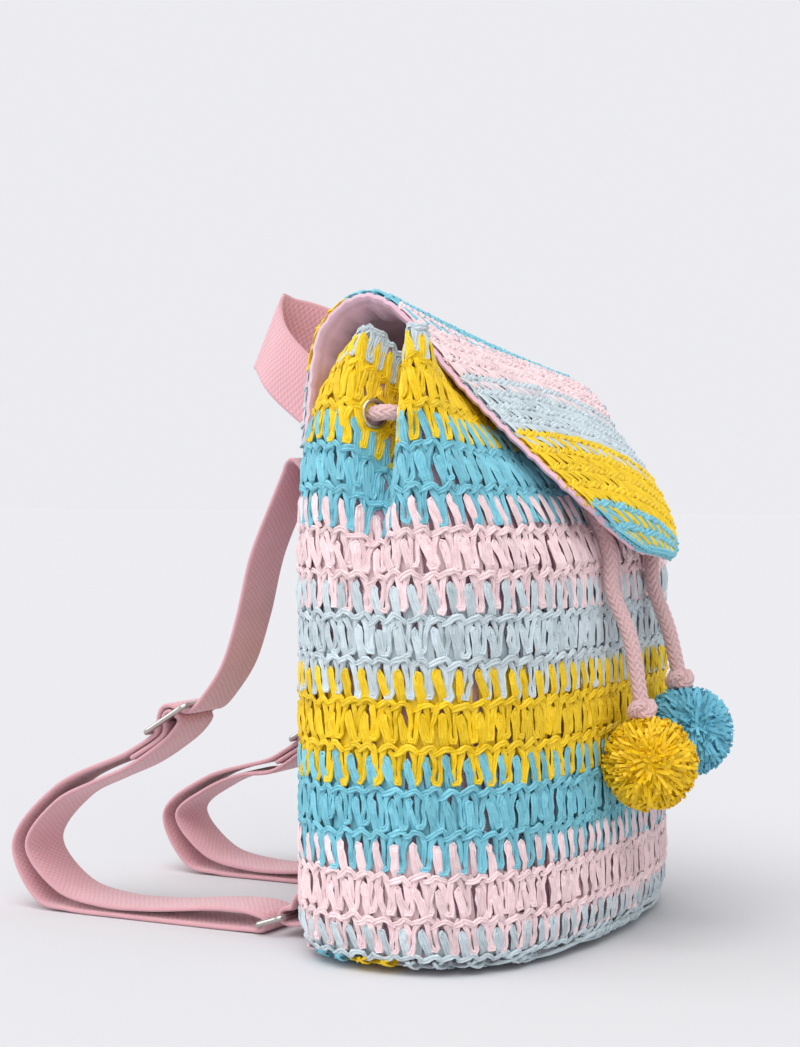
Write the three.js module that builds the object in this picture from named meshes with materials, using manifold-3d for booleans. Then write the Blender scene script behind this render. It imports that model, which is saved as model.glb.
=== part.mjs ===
// A small drawstring backpack crocheted from paper-straw tape, in millimetres.
// +Z is up and the origin is the centre of the base, on the floor. The flap and the
// pompoms face -Y, the shoulder straps lie behind the bag at +Y, and X runs across its back.
import * as THREE from "three";
import { mergeVertices } from "three/addons/utils/BufferGeometryUtils.js";
import ManifoldModule from "manifold-3d";

// Body, over the crochet
const bodyWidth = 262;
const bodyDepth = 140;
const bodyHeight = 297; // floor to the top of the left ear, the higher one
const cornerPower = 2.65; // 2 is an ellipse, more is squarer
const wallThickness = 5.6;
const footCurl = 12; // how far the wall turns in at the foot
const footHeight = 26;
const baseThickness = 7;
const baseEdge = 11; // rounding of the base panel's rim

// Crochet rows and stitches
const rowHeight = 19.5;
const rimRow = 14.4; // the last row, at the mouth
const ridgeDepth = 1.8;
const stitchColumns = 36;
const gapRows = 8;
const gapEvery = 9; // one gap in so many columns
const gapSize = 4.4;

// Gathered top
const gatherStart = 185; // height where the walls begin to lean in
const mouthWidth = 230;
const mouthFront = 46; // centre line to the front rim
const mouthBack = 36; // centre line to the back rim
const frontLean = 1.35;
const backLean = 4;
const waistPinch = 1.23; // how far the cord draws the front rim back
const earPower = 4; // how far the front ears stay out beside it, more is less
const pleatStart = 150;
const pleatDepth = 28;
const pleatReach = 9.5;
const pleatDip = 20;
const slumpStart = 215;
const slump = 34; // the rim sinks this far from the left ear to the right one
const slumpPower = 0.6;

// Lining
const liningThickness = 1.2;
const liningDrop = 6; // below the crochet rim
const clearance = 0.3; // between pieces that touch

// Flap
const flapThickness = 4.5;
const flapLining = 1.2;
const flapRows = 25;
const flapRidge = 1.2;
const flapHalfWidth = 75;
const flapSeamRow = 2; // ridges from the rim's down to the one that the flap is sewn along
const flapSlant = 12; // degrees between the flap and the wall at the seam
const flapCrown = 7; // how far the cords lift the middle of its front
const flapTipStart = 0.8; // share of its length where the tip begins to round
const flapTipPower = 2.5;
const flapTipEnd = 0.98;

// Webbing and its metal
const webbingWidth = 32;
const webbingThickness = 2.4;
const strapSpread = 62; // centre plane to each strap
const strapSewnFrom = 206;
const strapSewnTo = 229;
const sewnGap = 0.8; // webbing to the ridges that it is sewn on
const sliderLength = 31;
const sliderThickness = 2.6;
const barWidth = 3.5;
const sideBar = 4; // width of the slider's and ring's short sides
const metalCorner = 3.5;
const sliderAway = 73; // back wall to the middle of the left slider
const sliderHeight = 104;
const slackIn = 12; // the right strap lies this much nearer the bag, and its slider lower
const slackDrop = 16;
const sliderTilt = -32; // degrees from level
const ringBars = 16; // between the centres of its long bars
const ringThickness = 3;
const ringGap = 9; // wall to the ring's inner bar
const ringHeight = 10.5;
const ringStrapHeight = 5.4; // height of the bar that the strap turns round
const loopReach = 170.5; // back wall to the far end of the left strap's loop
const tabSewnTo = 36;

// Grab loop
const handleSpread = 24;
const handleReach = 56;
const handleRise = 34;
const handleHeight = 268;
const handleTwist = 12.5; // its right end is sewn on higher and its left one lower, so it folds at a slant
const handleForward = 3; // the flap is this much further forward at the right end
const handleSeam = 0.05; // share of the flap's length from its seam
const handleGap = 1.2; // between the flap and the middle of the webbing there

// Drawcord, eyelets and pompoms
const cordDiameter = 8;
const cordSides = 8;
const knotDiameter = 13;
const eyeletHeight = 262; // along the wall, before the rim sinks
const eyeletBore = 10;
const eyeletFlange = 15;
const eyeletWall = 0.8;
const eyeletCrown = 1.3;
const rollHeight = 1; // the end of its barrel, rolled over on the inside
const rollWidth = 1;
const eyeletRoom = 5; // kept clear on both sides of the wall
const eyeletSides = 8;
const sideEyelets = 8.5; // from the middle of a pleat to each eyelet in its flanks, along the wall
const frontEyelets = 27; // from the middle of the front to each eyelet, along the wall
const pompomDiameter = 43;
const tuftDepth = 3;

// Colours
const straw = { yellow: 0xe6bf2c, turquoise: 0x6fb9cc, pink: 0xe6cdd2 };
const cottonPink = 0xdc9da8;
const cottonMauve = 0xc9a3b4;
const cordPink = 0xd3aeb0;
const nickel = 0xc9c4bd;

const { smoothstep, lerp, clamp, degToRad } = THREE.MathUtils;
const wasm = await ManifoldModule();
wasm.setup();

// Closed meshes

// A geometry from points and triangles of their indices.
function geometryOf(points, triangles) {
  const geometry = new THREE.BufferGeometry().setFromPoints(points);
  geometry.setIndex(triangles);
  return geometry;
}

// Two triangles across a four-cornered patch, along its shorter diagonal.
function patch(points, triangles, a, b, c, d) {
  if (points[a].distanceTo(points[c]) < points[b].distanceTo(points[d])) triangles.push(a, b, c, a, c, d);
  else triangles.push(a, b, d, b, c, d);
}

// Skin over rings of equally many points, each ring counter-clockwise seen from the last.
// It is either closed onto its first ring or has a flat fan over each end.
function loft(rings, closed) {
  const count = rings[0].length;
  const points = rings.flat();
  const triangles = [];
  const spans = closed ? rings.length : rings.length - 1;
  for (let j = 0; j < spans; j++) {
    const low = j * count;
    const high = ((j + 1) % rings.length) * count;
    for (let i = 0; i < count; i++) {
      const next = (i + 1) % count;
      patch(points, triangles, low + i, low + next, high + next, high + i);
    }
  }
  if (!closed) {
    for (const [ring, flip] of [[0, true], [rings.length - 1, false]]) {
      const middle = points.length;
      points.push(rings[ring].reduce((sum, p) => sum.add(p), new THREE.Vector3()).divideScalar(count));
      for (let i = 0; i < count; i++) {
        const edge = [ring * count + i, ring * count + ((i + 1) % count)];
        triangles.push(middle, edge[flip ? 1 : 0], edge[flip ? 0 : 1]);
      }
    }
  }
  return geometryOf(points, triangles);
}

// A sheet with thickness, from a grid of points on its outer face and one on its inner face.
function slab(outer, inner) {
  const rows = outer.length;
  const columns = outer[0].length;
  const points = [...outer.flat(), ...inner.flat()];
  const triangles = [];
  const front = (j, i) => j * columns + i;
  const back = (j, i) => rows * columns + j * columns + i;
  for (let j = 0; j < rows - 1; j++) {
    for (let i = 0; i < columns - 1; i++) {
      patch(points, triangles, front(j, i), front(j + 1, i), front(j + 1, i + 1), front(j, i + 1));
      patch(points, triangles, back(j, i), back(j, i + 1), back(j + 1, i + 1), back(j + 1, i));
    }
    patch(points, triangles, front(j, 0), back(j, 0), back(j + 1, 0), front(j + 1, 0));
    const last = columns - 1;
    patch(points, triangles, front(j, last), front(j + 1, last), back(j + 1, last), back(j, last));
  }
  for (let i = 0; i < columns - 1; i++) {
    patch(points, triangles, front(0, i), front(0, i + 1), back(0, i + 1), back(0, i));
    const end = rows - 1;
    patch(points, triangles, front(end, i), back(end, i), back(end, i + 1), front(end, i + 1));
  }
  return geometryOf(points, triangles);
}

// A webbing band along stations, each a point and the direction across the band there, square or slanted.
function ribbon(stations) {
  const outer = [];
  const inner = [];
  stations.forEach(({ point, across }, i) => {
    const before = stations[Math.max(i - 1, 0)].point;
    const after = stations[Math.min(i + 1, stations.length - 1)].point;
    const along = after.clone().sub(before).normalize();
    const face = along.clone().cross(across);
    const reach = webbingWidth / 2 / face.length();
    face.normalize();
    const corner = (side, lift) =>
      point
        .clone()
        .addScaledVector(across, side * reach)
        .addScaledVector(face, (lift * webbingThickness) / 2);
    outer.push([corner(-1, 1), corner(1, 1)]);
    inner.push([corner(-1, -1), corner(1, -1)]);
  });
  return slab(outer, inner);
}

function solidOf(geometry) {
  const bare = new THREE.BufferGeometry().setAttribute("position", geometry.getAttribute("position"));
  bare.setIndex(geometry.index);
  const merged = mergeVertices(bare, 1e-4);
  const mesh = new wasm.Mesh({
    numProp: 3,
    vertProperties: merged.getAttribute("position").array,
    triVerts: new Uint32Array(merged.index.array),
  });
  return new wasm.Manifold(mesh);
}

function geometryFrom(solid) {
  const { vertProperties, triVerts } = solid.getMesh();
  const geometry = new THREE.BufferGeometry();
  geometry.setAttribute("position", new THREE.BufferAttribute(vertProperties, 3));
  geometry.setIndex(new THREE.BufferAttribute(triVerts, 1));
  return geometry;
}

const bag = new THREE.Group();

function add(name, geometry, color, roughness, metalness = 0) {
  const flat = geometry.index ? geometry.toNonIndexed() : geometry;
  flat.computeVertexNormals();
  const mesh = new THREE.Mesh(flat, new THREE.MeshStandardMaterial({ color, roughness, metalness }));
  mesh.name = name;
  bag.add(mesh);
  return mesh;
}

// The bag's wall as a surface

const squared = (value) => Math.sign(value) * Math.abs(value) ** (2 / cornerPower);

// The bag's plan at its widest, which spaces the stitches evenly round it.
class PlanOval extends THREE.Curve {
  getPoint(t, target = new THREE.Vector3()) {
    const angle = 2 * Math.PI * t;
    const x = (bodyWidth / 2) * squared(Math.cos(angle));
    const y = (bodyDepth / 2) * squared(Math.sin(angle));
    return target.set(x, y, 0);
  }
}

const backFace = bodyDepth / 2;
const frontFace = -bodyDepth / 2;
const plan = new PlanOval();
plan.arcLengthDivisions = 1600;
const girth = plan.getLength();

// A point of the wall. The turn runs from the right side (0) over the back, the left side (0.5)
// and the front. The level is the height before the rim sinks, and the inset goes into the wall.
function wallPoint(turn, level, inset) {
  const share = ((turn % 1) + 1) % 1;
  const angle = 2 * Math.PI * plan.getUtoTmapping(share);
  const lean = clamp((level - gatherStart) / (bodyHeight - gatherStart), 0, 1);
  const foot = clamp(1 - level / footHeight, 0, 1);
  const curl = footCurl * (1 - Math.sqrt(1 - foot * foot));
  const halfWidth = lerp(bodyWidth, mouthWidth, lean * lean) / 2;
  const front = Math.sin(angle) < 0;
  const halfFront = lerp(mouthFront, bodyDepth / 2, (1 - lean) ** frontLean);
  const halfBack = lerp(bodyDepth / 2, mouthBack, lean ** backLean);
  const along = squared(Math.cos(angle));
  const pinch = front ? 1 - waistPinch * lean ** 2 * (1 - Math.abs(along) ** earPower) : 1;
  const halfDepth = (front ? halfFront : halfBack) * pinch;
  const fromSide = girth * Math.min(share % 0.5, 0.5 - (share % 0.5));
  const fold = smoothstep(level, pleatStart, bodyHeight) * Math.exp(-((fromSide / pleatReach) ** 2));
  const x = (halfWidth - curl - inset - pleatDepth * fold) * along;
  const y = (halfDepth - curl - inset) * squared(Math.sin(angle));
  const fromLeft = clamp(0.5 + (halfWidth * along) / mouthWidth, 0, 1);
  const sink = slump * fromLeft ** slumpPower * clamp((level - slumpStart) / (bodyHeight - slumpStart), 0, 1);
  return new THREE.Vector3(x, y, level - pleatDip * fold - sink);
}

// The way out of the wall, over a span of it to each side.
function wallNormal(turn, level, span = 2.5) {
  const step = span / girth;
  const rise = 2;
  const round = wallPoint(turn + step, level, 0).sub(wallPoint(turn - step, level, 0));
  const up = wallPoint(turn, level + rise, 0).sub(wallPoint(turn, level - rise, 0));
  return round.cross(up).normalize();
}

// A place off the wall, along the way out of it.
function offWall(turn, level, lift) {
  return wallPoint(turn, level, 0).addScaledVector(wallNormal(turn, level), lift);
}

// Where a vertical plane at x meets the back of the wall.
function backTurn(x, level) {
  let right = 0.02;
  let left = 0.48;
  for (let i = 0; i < 40; i++) {
    const middle = (right + left) / 2;
    if (wallPoint(middle, level, 0).x > x) right = middle;
    else left = middle;
  }
  return (right + left) / 2;
}

function wallRing(level, inset, columns, shift) {
  return Array.from({ length: columns }, (_, i) => wallPoint((i + shift) / columns, level, inset));
}

// Crochet wall: a ridge along the top of each row, and the stitches of neighbouring rows staggered

const footLevel = baseThickness + clearance;
const topRow = bodyHeight - rimRow;
const rowCount = Math.floor((topRow - footLevel) / rowHeight);

// Levels that the wall's inner face and its lining share, from the top down.
const liningRim = bodyHeight - liningDrop;
const innerLevels = [liningRim, eyeletHeight, slumpStart, gatherStart, footHeight];

function crochetWall() {
  const outer = [wallRing(footLevel, ridgeDepth, stitchColumns, 0)];
  for (let row = rowCount; row >= 0; row--) {
    const ridge = topRow - row * rowHeight;
    const hollow = row === 0 ? topRow + rimRow / 2 : ridge + rowHeight / 2;
    outer.push(wallRing(ridge, 0, stitchColumns, 0));
    outer.push(wallRing(hollow, ridgeDepth, stitchColumns, 0.5));
  }
  outer.push(wallRing(bodyHeight, ridgeDepth / 2, stitchColumns, 0));
  const inner = [bodyHeight, ...innerLevels, footLevel].map((level) => {
    return wallRing(level, wallThickness, stitchColumns, 0);
  });
  return loft([...outer, ...inner], true);
}

// A four-sided bar through the wall, for one gap between stitches.
function gapCutter(turn, level) {
  const normal = wallNormal(turn, level);
  const bar = new THREE.CylinderGeometry(gapSize / 2, gapSize / 2, 3 * wallThickness, 4);
  const quaternion = new THREE.Quaternion().setFromUnitVectors(new THREE.Vector3(0, 1, 0), normal);
  bar.applyQuaternion(quaternion);
  const middle = wallPoint(turn, level, wallThickness / 2);
  bar.translate(middle.x, middle.y, middle.z);
  return solidOf(bar);
}

function gapCutters() {
  const cutters = [];
  for (let row = 0; row < gapRows; row++) {
    const level = topRow - (rowCount - row - 1) * rowHeight - rowHeight / 2;
    const shift = row % 2 === 0 ? 0.5 : 0.5 + gapEvery / 2;
    for (let column = 0; column < stitchColumns; column += gapEvery) {
      cutters.push(gapCutter((column + shift) / stitchColumns, level));
    }
  }
  return cutters;
}

// Eyelets

const liningInset = wallThickness + clearance;
const innerInset = liningInset + liningThickness;
const boreRadius = eyeletBore / 2;
const barrelRadius = boreRadius + eyeletWall;
const flangeRadius = eyeletFlange / 2;
const rollRadius = barrelRadius + rollWidth;

const eyeletSeats = {
  front_left: 0.75 - frontEyelets / girth,
  front_right: 0.75 + frontEyelets / girth,
  left_front: 0.5 + sideEyelets / girth,
  left_back: 0.5 - sideEyelets / girth,
  right_back: sideEyelets / girth,
  right_front: 1 - sideEyelets / girth,
};

// An eyelet's place: the point on the wall, the way out and the wall's depth there, lining included.
// Those in a pleat face each other across it, square to its flanks.
function eyeletSeat(name, turn) {
  const point = wallPoint(turn, eyeletHeight, 0);
  const out = name.startsWith("front")
    ? wallNormal(turn, eyeletHeight)
    : wallNormal(turn, eyeletHeight, sideEyelets);
  const depth = point.clone().sub(wallPoint(turn, eyeletHeight, innerInset)).dot(out);
  return { point, out, depth };
}

// Turns a shape made along +Y to stand on the wall at an eyelet.
function stand(geometry, { point, out }) {
  geometry.applyQuaternion(new THREE.Quaternion().setFromUnitVectors(new THREE.Vector3(0, 1, 0), out));
  geometry.translate(point.x, point.y, point.z);
  return geometry;
}

function revolve(profile) {
  const outline = profile.map(([radius, height]) => new THREE.Vector2(radius, height));
  return new THREE.LatheGeometry([...outline, outline[0]], eyeletSides);
}

function eyelet(seat) {
  const rolled = -(seat.depth + clearance);
  const profile = [
    [boreRadius, rolled - rollHeight],
    [rollRadius, rolled - rollHeight],
    [rollRadius, rolled],
    [barrelRadius, rolled],
    [barrelRadius, 0],
    [flangeRadius, 0],
    [flangeRadius - eyeletWall, eyeletCrown],
    [boreRadius, eyeletCrown],
  ];
  return stand(revolve(profile), seat);
}

// What an eyelet takes out of the wall and its lining.
function eyeletCut(seat) {
  const plug = (radius, top, bottom) => {
    const cylinder = new THREE.CylinderGeometry(radius, radius, top - bottom, eyeletSides);
    return solidOf(stand(cylinder.translate(0, (top + bottom) / 2, 0), seat));
  };
  const bore = plug(barrelRadius + clearance, eyeletRoom, -seat.depth - eyeletRoom);
  const outside = plug(flangeRadius + clearance, eyeletRoom, -clearance);
  const inside = plug(rollRadius + clearance, -seat.depth, -seat.depth - eyeletRoom);
  return bore.add(outside).add(inside);
}

const seats = Object.fromEntries(
  Object.entries(eyeletSeats).map(([name, turn]) => [name, eyeletSeat(name, turn)]),
);
const eyeletCuts = Object.values(seats).map(eyeletCut);

// The geometry less its cutters, without the scraps that they cut loose.
function cutAll(geometry, cutters) {
  const rest = cutters.reduce((solid, cutter) => solid.subtract(cutter), solidOf(geometry));
  const [main] = rest.decompose().sort((a, b) => b.volume() - a.volume());
  return geometryFrom(main);
}

// Lining: a cotton bag just inside the wall

function bodyLining() {
  const ring = (level, inset) => wallRing(level, inset, stitchColumns, 0);
  const floor = baseThickness + clearance;
  const outer = [...innerLevels].reverse().map((level) => ring(level, liningInset));
  const inner = innerLevels.map((level) => ring(level, innerInset));
  const outerFloor = ring(footLevel, liningInset);
  const innerFloor = ring(footLevel, innerInset).map((p) => p.setZ(floor + liningThickness));
  return loft([outerFloor, ...outer, ...inner, innerFloor], false);
}

// Base panel: an oval with a rounded rim, which the wall stands on

function basePanel() {
  const steps = 3;
  const rings = Array.from({ length: steps + 1 }, (_, i) => {
    const share = i / steps;
    const tuck = baseEdge * (1 - Math.sqrt(1 - (1 - share) ** 2));
    const ring = wallRing(footHeight, footCurl / 2 + tuck, stitchColumns, 0);
    return ring.map((p) => p.setZ(share * baseThickness));
  });
  return loft(rings, false);
}

// Flap: a band between its left and right edges, sewn to the back and laid over the top to the front.
// The left edge is propped up by the ear there, and the right one lies lower.

const flapDepth = flapThickness + flapLining + 3 * clearance;

function seamPoint(x) {
  const level = topRow - flapSeamRow * rowHeight;
  const lift = flapDepth * Math.cos(degToRad(flapSlant)) + sewnGap;
  return offWall(backTurn(x, level), level, lift);
}

// An edge of the flap through its seam, its back, its crest and its front.
function flapEdge(seam, way, { back, crest, front }) {
  const place = ([inward, y, z]) => new THREE.Vector3(way * (flapHalfWidth - inward), y, z);
  const points = [
    ...back.map(([inward, out, drop]) => place([inward, backFace + out, bodyHeight - drop])),
    ...crest.map(([inward, y, drop]) => place([inward, y, bodyHeight - drop])),
    ...front.map(([inward, out, drop]) => place([inward, frontFace - out, bodyHeight - drop])),
  ];
  return new THREE.CatmullRomCurve3([seam, ...points]);
}

const flapLeft = flapEdge(seamPoint(-flapHalfWidth), -1, {
  back: [[0, -3, 45], [0, -6, 18], [0, -10.5, 1]],
  crest: [[0, 50, -10], [0, 39, -16.5], [0, 27, -17.5], [0, 14, -11], [1, -22, 27]],
  front: [[5, -25, 50], [13, 7, 83], [17, 19, 105]],
});
const flapRight = flapEdge(seamPoint(flapHalfWidth), 1, {
  back: [[0, -3, 46], [1, -8, 24], [3, -20, 10]],
  crest: [[7, 15, 11], [13, -25, 25]],
  front: [[19, -25, 48], [27, -2, 74], [35, 12, 95], [39, 19, 115]],
});

// The flap's face before its crown: across goes from its left edge to its right, along from seam to tip.
// Its seam follows the back of the wall.
function flapSheet(across, along) {
  const point = flapLeft.getPointAt(along).lerp(flapRight.getPointAt(along), across);
  const seam = lerp(flapLeft.points[0].y, flapRight.points[0].y, across);
  const bow = seamPoint(lerp(-flapHalfWidth, flapHalfWidth, across)).y - seam;
  point.y += bow * (1 - smoothstep(along, 0, 0.25));
  return point;
}

function flapPoint(across, along, inset) {
  const step = 0.01;
  const width = flapSheet(across + step, along).sub(flapSheet(across - step, along));
  const low = clamp(along - step, 0, 1);
  const high = clamp(along + step, 0, 1);
  const length = flapSheet(across, high).sub(flapSheet(across, low));
  const out = length.cross(width).normalize();
  const middle = 1 - (2 * across - 1) ** 2;
  const crown = flapCrown * middle * smoothstep(along, 0.45, 0.65);
  return flapSheet(across, along).addScaledVector(out, crown - inset);
}

// A grid over the flap, narrowed to its round tip.
function flapGrid(steps, insetAt) {
  const columns = 4;
  return Array.from({ length: steps + 1 }, (_, j) => {
    const along = j / steps;
    const tip = flapTipEnd * clamp((along - flapTipStart) / (1 - flapTipStart), 0, 1);
    const narrow = (1 - tip ** flapTipPower) ** (1 / flapTipPower);
    return Array.from({ length: columns }, (_, i) => {
      const across = 0.5 + (i / (columns - 1) - 0.5) * narrow;
      return flapPoint(across, along, insetAt(j));
    });
  });
}

function flapPanel() {
  const outer = flapGrid(2 * flapRows, (j) => (j % 2 === 0 ? 0 : flapRidge));
  const inner = flapGrid(2 * flapRows, () => flapThickness);
  return slab(outer, inner);
}

function flapUnderside() {
  const steps = 16;
  const top = flapThickness + 2 * clearance;
  const outer = flapGrid(steps, () => top);
  const inner = flapGrid(steps, () => top + flapLining);
  return slab(outer, inner);
}

// Shoulder straps: one length of webbing each, sewn to the back, threaded through the slider, round the
// ring and back to the slider's middle bar

const side = { left: -1, right: 1 };
const webbingHalf = webbingThickness / 2;

// How each strap lies behind the bag.
const lies = {
  left: { away: sliderAway, height: sliderHeight, reach: loopReach },
  right: { away: sliderAway - slackIn, height: sliderHeight - slackDrop, reach: loopReach - slackIn },
};

const endBar = (sliderLength - barWidth) / 2;
const underBar = sliderThickness / 2 + clearance + webbingHalf;
const roundBar = Math.hypot(barWidth, sliderThickness) / 2 + clearance + webbingHalf;
const overWrap = roundBar + webbingThickness + 2 * clearance;
const hemDepth = underBar + webbingThickness + 2 * clearance;
const plyDepth = hemDepth + webbingThickness + clearance;
const ringTurn = ringThickness * Math.SQRT1_2 + clearance + webbingHalf;

// Points on an arc about a bar, between two angles in degrees.
function aroundBar(away, height, radius, from, to, steps) {
  return Array.from({ length: steps + 1 }, (_, i) => {
    const angle = degToRad(lerp(from, to, i / steps));
    return [away + radius * Math.cos(angle), height + radius * Math.sin(angle)];
  });
}

// Points of a smooth run through a few hand-set ones.
function smoothRun(places, steps) {
  const points = places.map(([away, height]) => new THREE.Vector3(0, away, height));
  const curve = new THREE.CatmullRomCurve3(points);
  return curve.getPoints(steps).map((p) => [p.y, p.z]);
}

// Where the ring lies behind the wall at a strap.
function ringPlace(x) {
  const wall = wallPoint(backTurn(x, footHeight), footHeight, 0).y;
  const inner = wall + ringGap;
  const outer = inner + Math.sqrt(ringBars ** 2 - (ringHeight - ringStrapHeight) ** 2);
  return { inner, outer };
}

// A band that is sewn flat to the wall between two heights: its place and its width's direction there.
function sewnStation(x, level) {
  const turn = backTurn(x, level);
  const point = wallPoint(turn, level, 0);
  const out = wallNormal(turn, level);
  const across = new THREE.Vector3(out.y, -out.x, 0).normalize();
  return { point: point.addScaledVector(out, sewnGap + webbingHalf), across };
}

// Stations of a band that leaves the wall and then keeps its width level.
function bandStations(x, sewn, route) {
  const across = new THREE.Vector3(1, 0, 0);
  const free = route.map(([y, z]) => ({ point: new THREE.Vector3(x, y, z), across }));
  return [...sewn, ...free];
}

function strapStations(x, lie) {
  const ring = ringPlace(x);
  const floor = webbingHalf + clearance;
  const stacked = floor + webbingThickness + 2 * clearance;
  const sewn = [sewnStation(x, strapSewnFrom), sewnStation(x, strapSewnTo)];
  const top = sewn[1].point;
  const end = backFace + lie.reach;
  const tilt = degToRad(sliderTilt);
  // A point of the slider's own plane, along the strap and above the slider.
  const onSlider = (along, above) => [
    backFace + lie.away + along * Math.cos(tilt) - above * Math.sin(tilt),
    lie.height + along * Math.sin(tilt) + above * Math.cos(tilt),
  ];
  const hanging = smoothRun(
    [
      [top.y + 9, top.z + 1],
      [backFace + 14, top.z - 16],
      [backFace + 25, top.z - 41],
      [backFace + 33, lerp(lie.height, top.z, 0.42)],
      [backFace + 42, lerp(lie.height, top.z, 0.22)],
      onSlider(-22, -1),
    ],
    6,
  );
  const outerLoop = smoothRun(
    [
      onSlider(23, -underBar),
      onSlider(34, 0.6 - underBar),
      [end - 27.5, lie.height * 0.625],
      [end, 33],
      [end - 15.5, 5.5],
      [end - 34.5, floor + 0.5],
      [end - 66.5, floor],
    ],
    12,
  );
  const innerLoop = smoothRun(
    [
      [ring.outer + 25, stacked + 6],
      [end - 83.5, stacked + 1.8],
      [end - 54.5, stacked + 1.5],
      [end - 27.5, 12],
      [end - 8.5, 33],
      [end - 27.5, lie.height * 0.55],
      [end - 50.5, lie.height * 0.66],
      onSlider(36, -plyDepth),
    ],
    12,
  );
  const route = [
    [top.y + 1.2, top.z + 5],
    [top.y + 4.5, top.z + 7],
    [top.y + 7.5, top.z + 5],
    ...hanging,
    onSlider(-endBar - 1, -underBar),
    onSlider(-endBar + 2.2, -underBar + 0.2),
    onSlider(-7.5, 0.8),
    onSlider(-4.5, overWrap - 2),
    onSlider(0, overWrap),
    onSlider(4.5, overWrap - 2),
    onSlider(7.5, 0.8),
    onSlider(endBar - 2.2, -underBar + 0.2),
    onSlider(endBar + 1, -underBar),
    ...outerLoop,
    [ring.outer + 16, floor],
    [ring.outer + 6, ringStrapHeight - ringTurn],
    ...aroundBar(ring.outer, ringStrapHeight, ringTurn, 270, 90, 4),
    [ring.outer + 7, ringStrapHeight + ringTurn + 1.5],
    ...innerLoop,
    onSlider(14, -plyDepth),
    onSlider(3, -plyDepth + 1.4),
    onSlider(-roundBar - 1, -roundBar),
    onSlider(-roundBar, 0),
    onSlider(-roundBar * 0.71, roundBar * 0.71),
    onSlider(0, roundBar),
    onSlider(roundBar * 0.71, roundBar * 0.71),
    onSlider(roundBar, -0.6),
    onSlider(6.4, -4.4),
    onSlider(11.5, -hemDepth),
    onSlider(31, -hemDepth),
  ];
  return bandStations(x, sewn, route);
}

// A flat metal frame with one slot for each opening, made in the X-Y plane about its centre.
function frame(width, length, slots, thickness) {
  const outline = roundedRectangle(new THREE.Shape(), 0, 0, width, length, metalCorner);
  for (const { y, height } of slots) {
    const hole = roundedRectangle(new THREE.Path(), 0, y, width - 2 * sideBar, height, metalCorner / 3);
    outline.holes.push(hole);
  }
  const shape = { depth: thickness, bevelEnabled: false, curveSegments: 1 };
  const plate = new THREE.ExtrudeGeometry(outline, shape);
  plate.translate(0, 0, -thickness / 2);
  return plate;
}

function roundedRectangle(path, x, y, width, height, radius) {
  const right = x + width / 2 - radius;
  const left = x - width / 2 + radius;
  const top = y + height / 2 - radius;
  const bottom = y - height / 2 + radius;
  path.absarc(right, top, radius, 0, Math.PI / 2);
  path.absarc(left, top, radius, Math.PI / 2, Math.PI);
  path.absarc(left, bottom, radius, Math.PI, 1.5 * Math.PI);
  path.absarc(right, bottom, radius, 1.5 * Math.PI, 2 * Math.PI);
  path.closePath();
  return path;
}

const metalWidth = webbingWidth + 2 * clearance + 2 + 2 * sideBar;

function slider() {
  const slot = endBar - barWidth;
  const slots = [1, -1].map((way) => ({ y: way * (endBar / 2), height: slot }));
  return frame(metalWidth, sliderLength, slots, sliderThickness);
}

function strapRing() {
  const slots = [{ y: 0, height: ringBars - ringThickness }];
  return frame(metalWidth, ringBars + ringThickness, slots, ringThickness);
}

// A short tab, sewn to the wall, folded round the ring's inner bar and tucked in at the foot.
function tabStations(x) {
  const ring = ringPlace(x);
  const sewn = [sewnStation(x, tabSewnTo), sewnStation(x, footHeight)];
  const tuck = sewnStation(x, ringHeight - ringTurn / 2);
  const route = [
    [sewn[1].point.y + 3, ringHeight + ringTurn + 4],
    [ring.inner - 3, ringHeight + ringTurn + 0.4],
    ...aroundBar(ring.inner, ringHeight, ringTurn, 90, -90, 4),
    [ring.inner - 3, ringHeight - ringTurn - 0.3],
  ];
  return [...bandStations(x, sewn, route), tuck];
}

// Grab loop: webbing on edge, from the flap's seam out to a fold and back

function handleStations() {
  const root = flapPoint(0.5 - handleSpread / (2 * flapHalfWidth), handleSeam, 0);
  const fold = new THREE.Vector3(0, -0.416, 0.909);
  const steps = 8;
  return Array.from({ length: 2 * steps + 1 }, (_, i) => {
    const way = i / steps - 1;
    const right = Math.max(way, 0);
    const reach = 1 - way ** 4 * 0.55 - Math.abs(way) * 0.45;
    const x = handleSpread * Math.sign(way) * Math.abs(way) ** 0.8;
    const y = root.y + handleGap + reach * handleReach - right * handleForward;
    const z = handleHeight + reach * handleRise + handleTwist * Math.sign(way) * Math.sqrt(Math.abs(way));
    const end = new THREE.Vector3(0, -right / 4, 1);
    const across = end.lerp(fold, smoothstep(reach, 0, 0.8)).normalize();
    return { point: new THREE.Vector3(x, y, z), across };
  });
}

// Drawcord: from one pompom through the front, round inside the bag, across both pleats and out again

// A route whose steps follow the points that it was given.
class CordRoute extends THREE.CatmullRomCurve3 {
  getPointAt(share, target) {
    return this.getPoint(share, target);
  }

  getTangentAt(share, target) {
    return this.getTangent(share, target);
  }
}

const cordRadius = cordDiameter / 2;
const pompomRadius = pompomDiameter / 2;
const pompomPlaces = {
  yellow: new THREE.Vector3(-21, -92.5, 89),
  turquoise: new THREE.Vector3(32, -92, 99),
};
const cordTurn = 7; // how far the cord goes straight past an eyelet before it bends
const cordBow = 2; // how far it bows out across a pleat

// Points along an eyelet's axis, from outside the wall to inside it.
function throughEyelet(name, outside) {
  const { point, out, depth } = seats[name];
  const heights = [outside, 0, -depth, -(depth + cordTurn)];
  return heights.map((height) => point.clone().addScaledVector(out, height));
}

// A run inside the bag between two eyelets.
function insideRun(from, to, count) {
  const depth = innerInset + rollHeight + cordTurn;
  return Array.from({ length: count }, (_, i) => {
    return offWall(lerp(from, to, (i + 1) / (count + 1)), eyeletHeight, -depth);
  });
}

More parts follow.
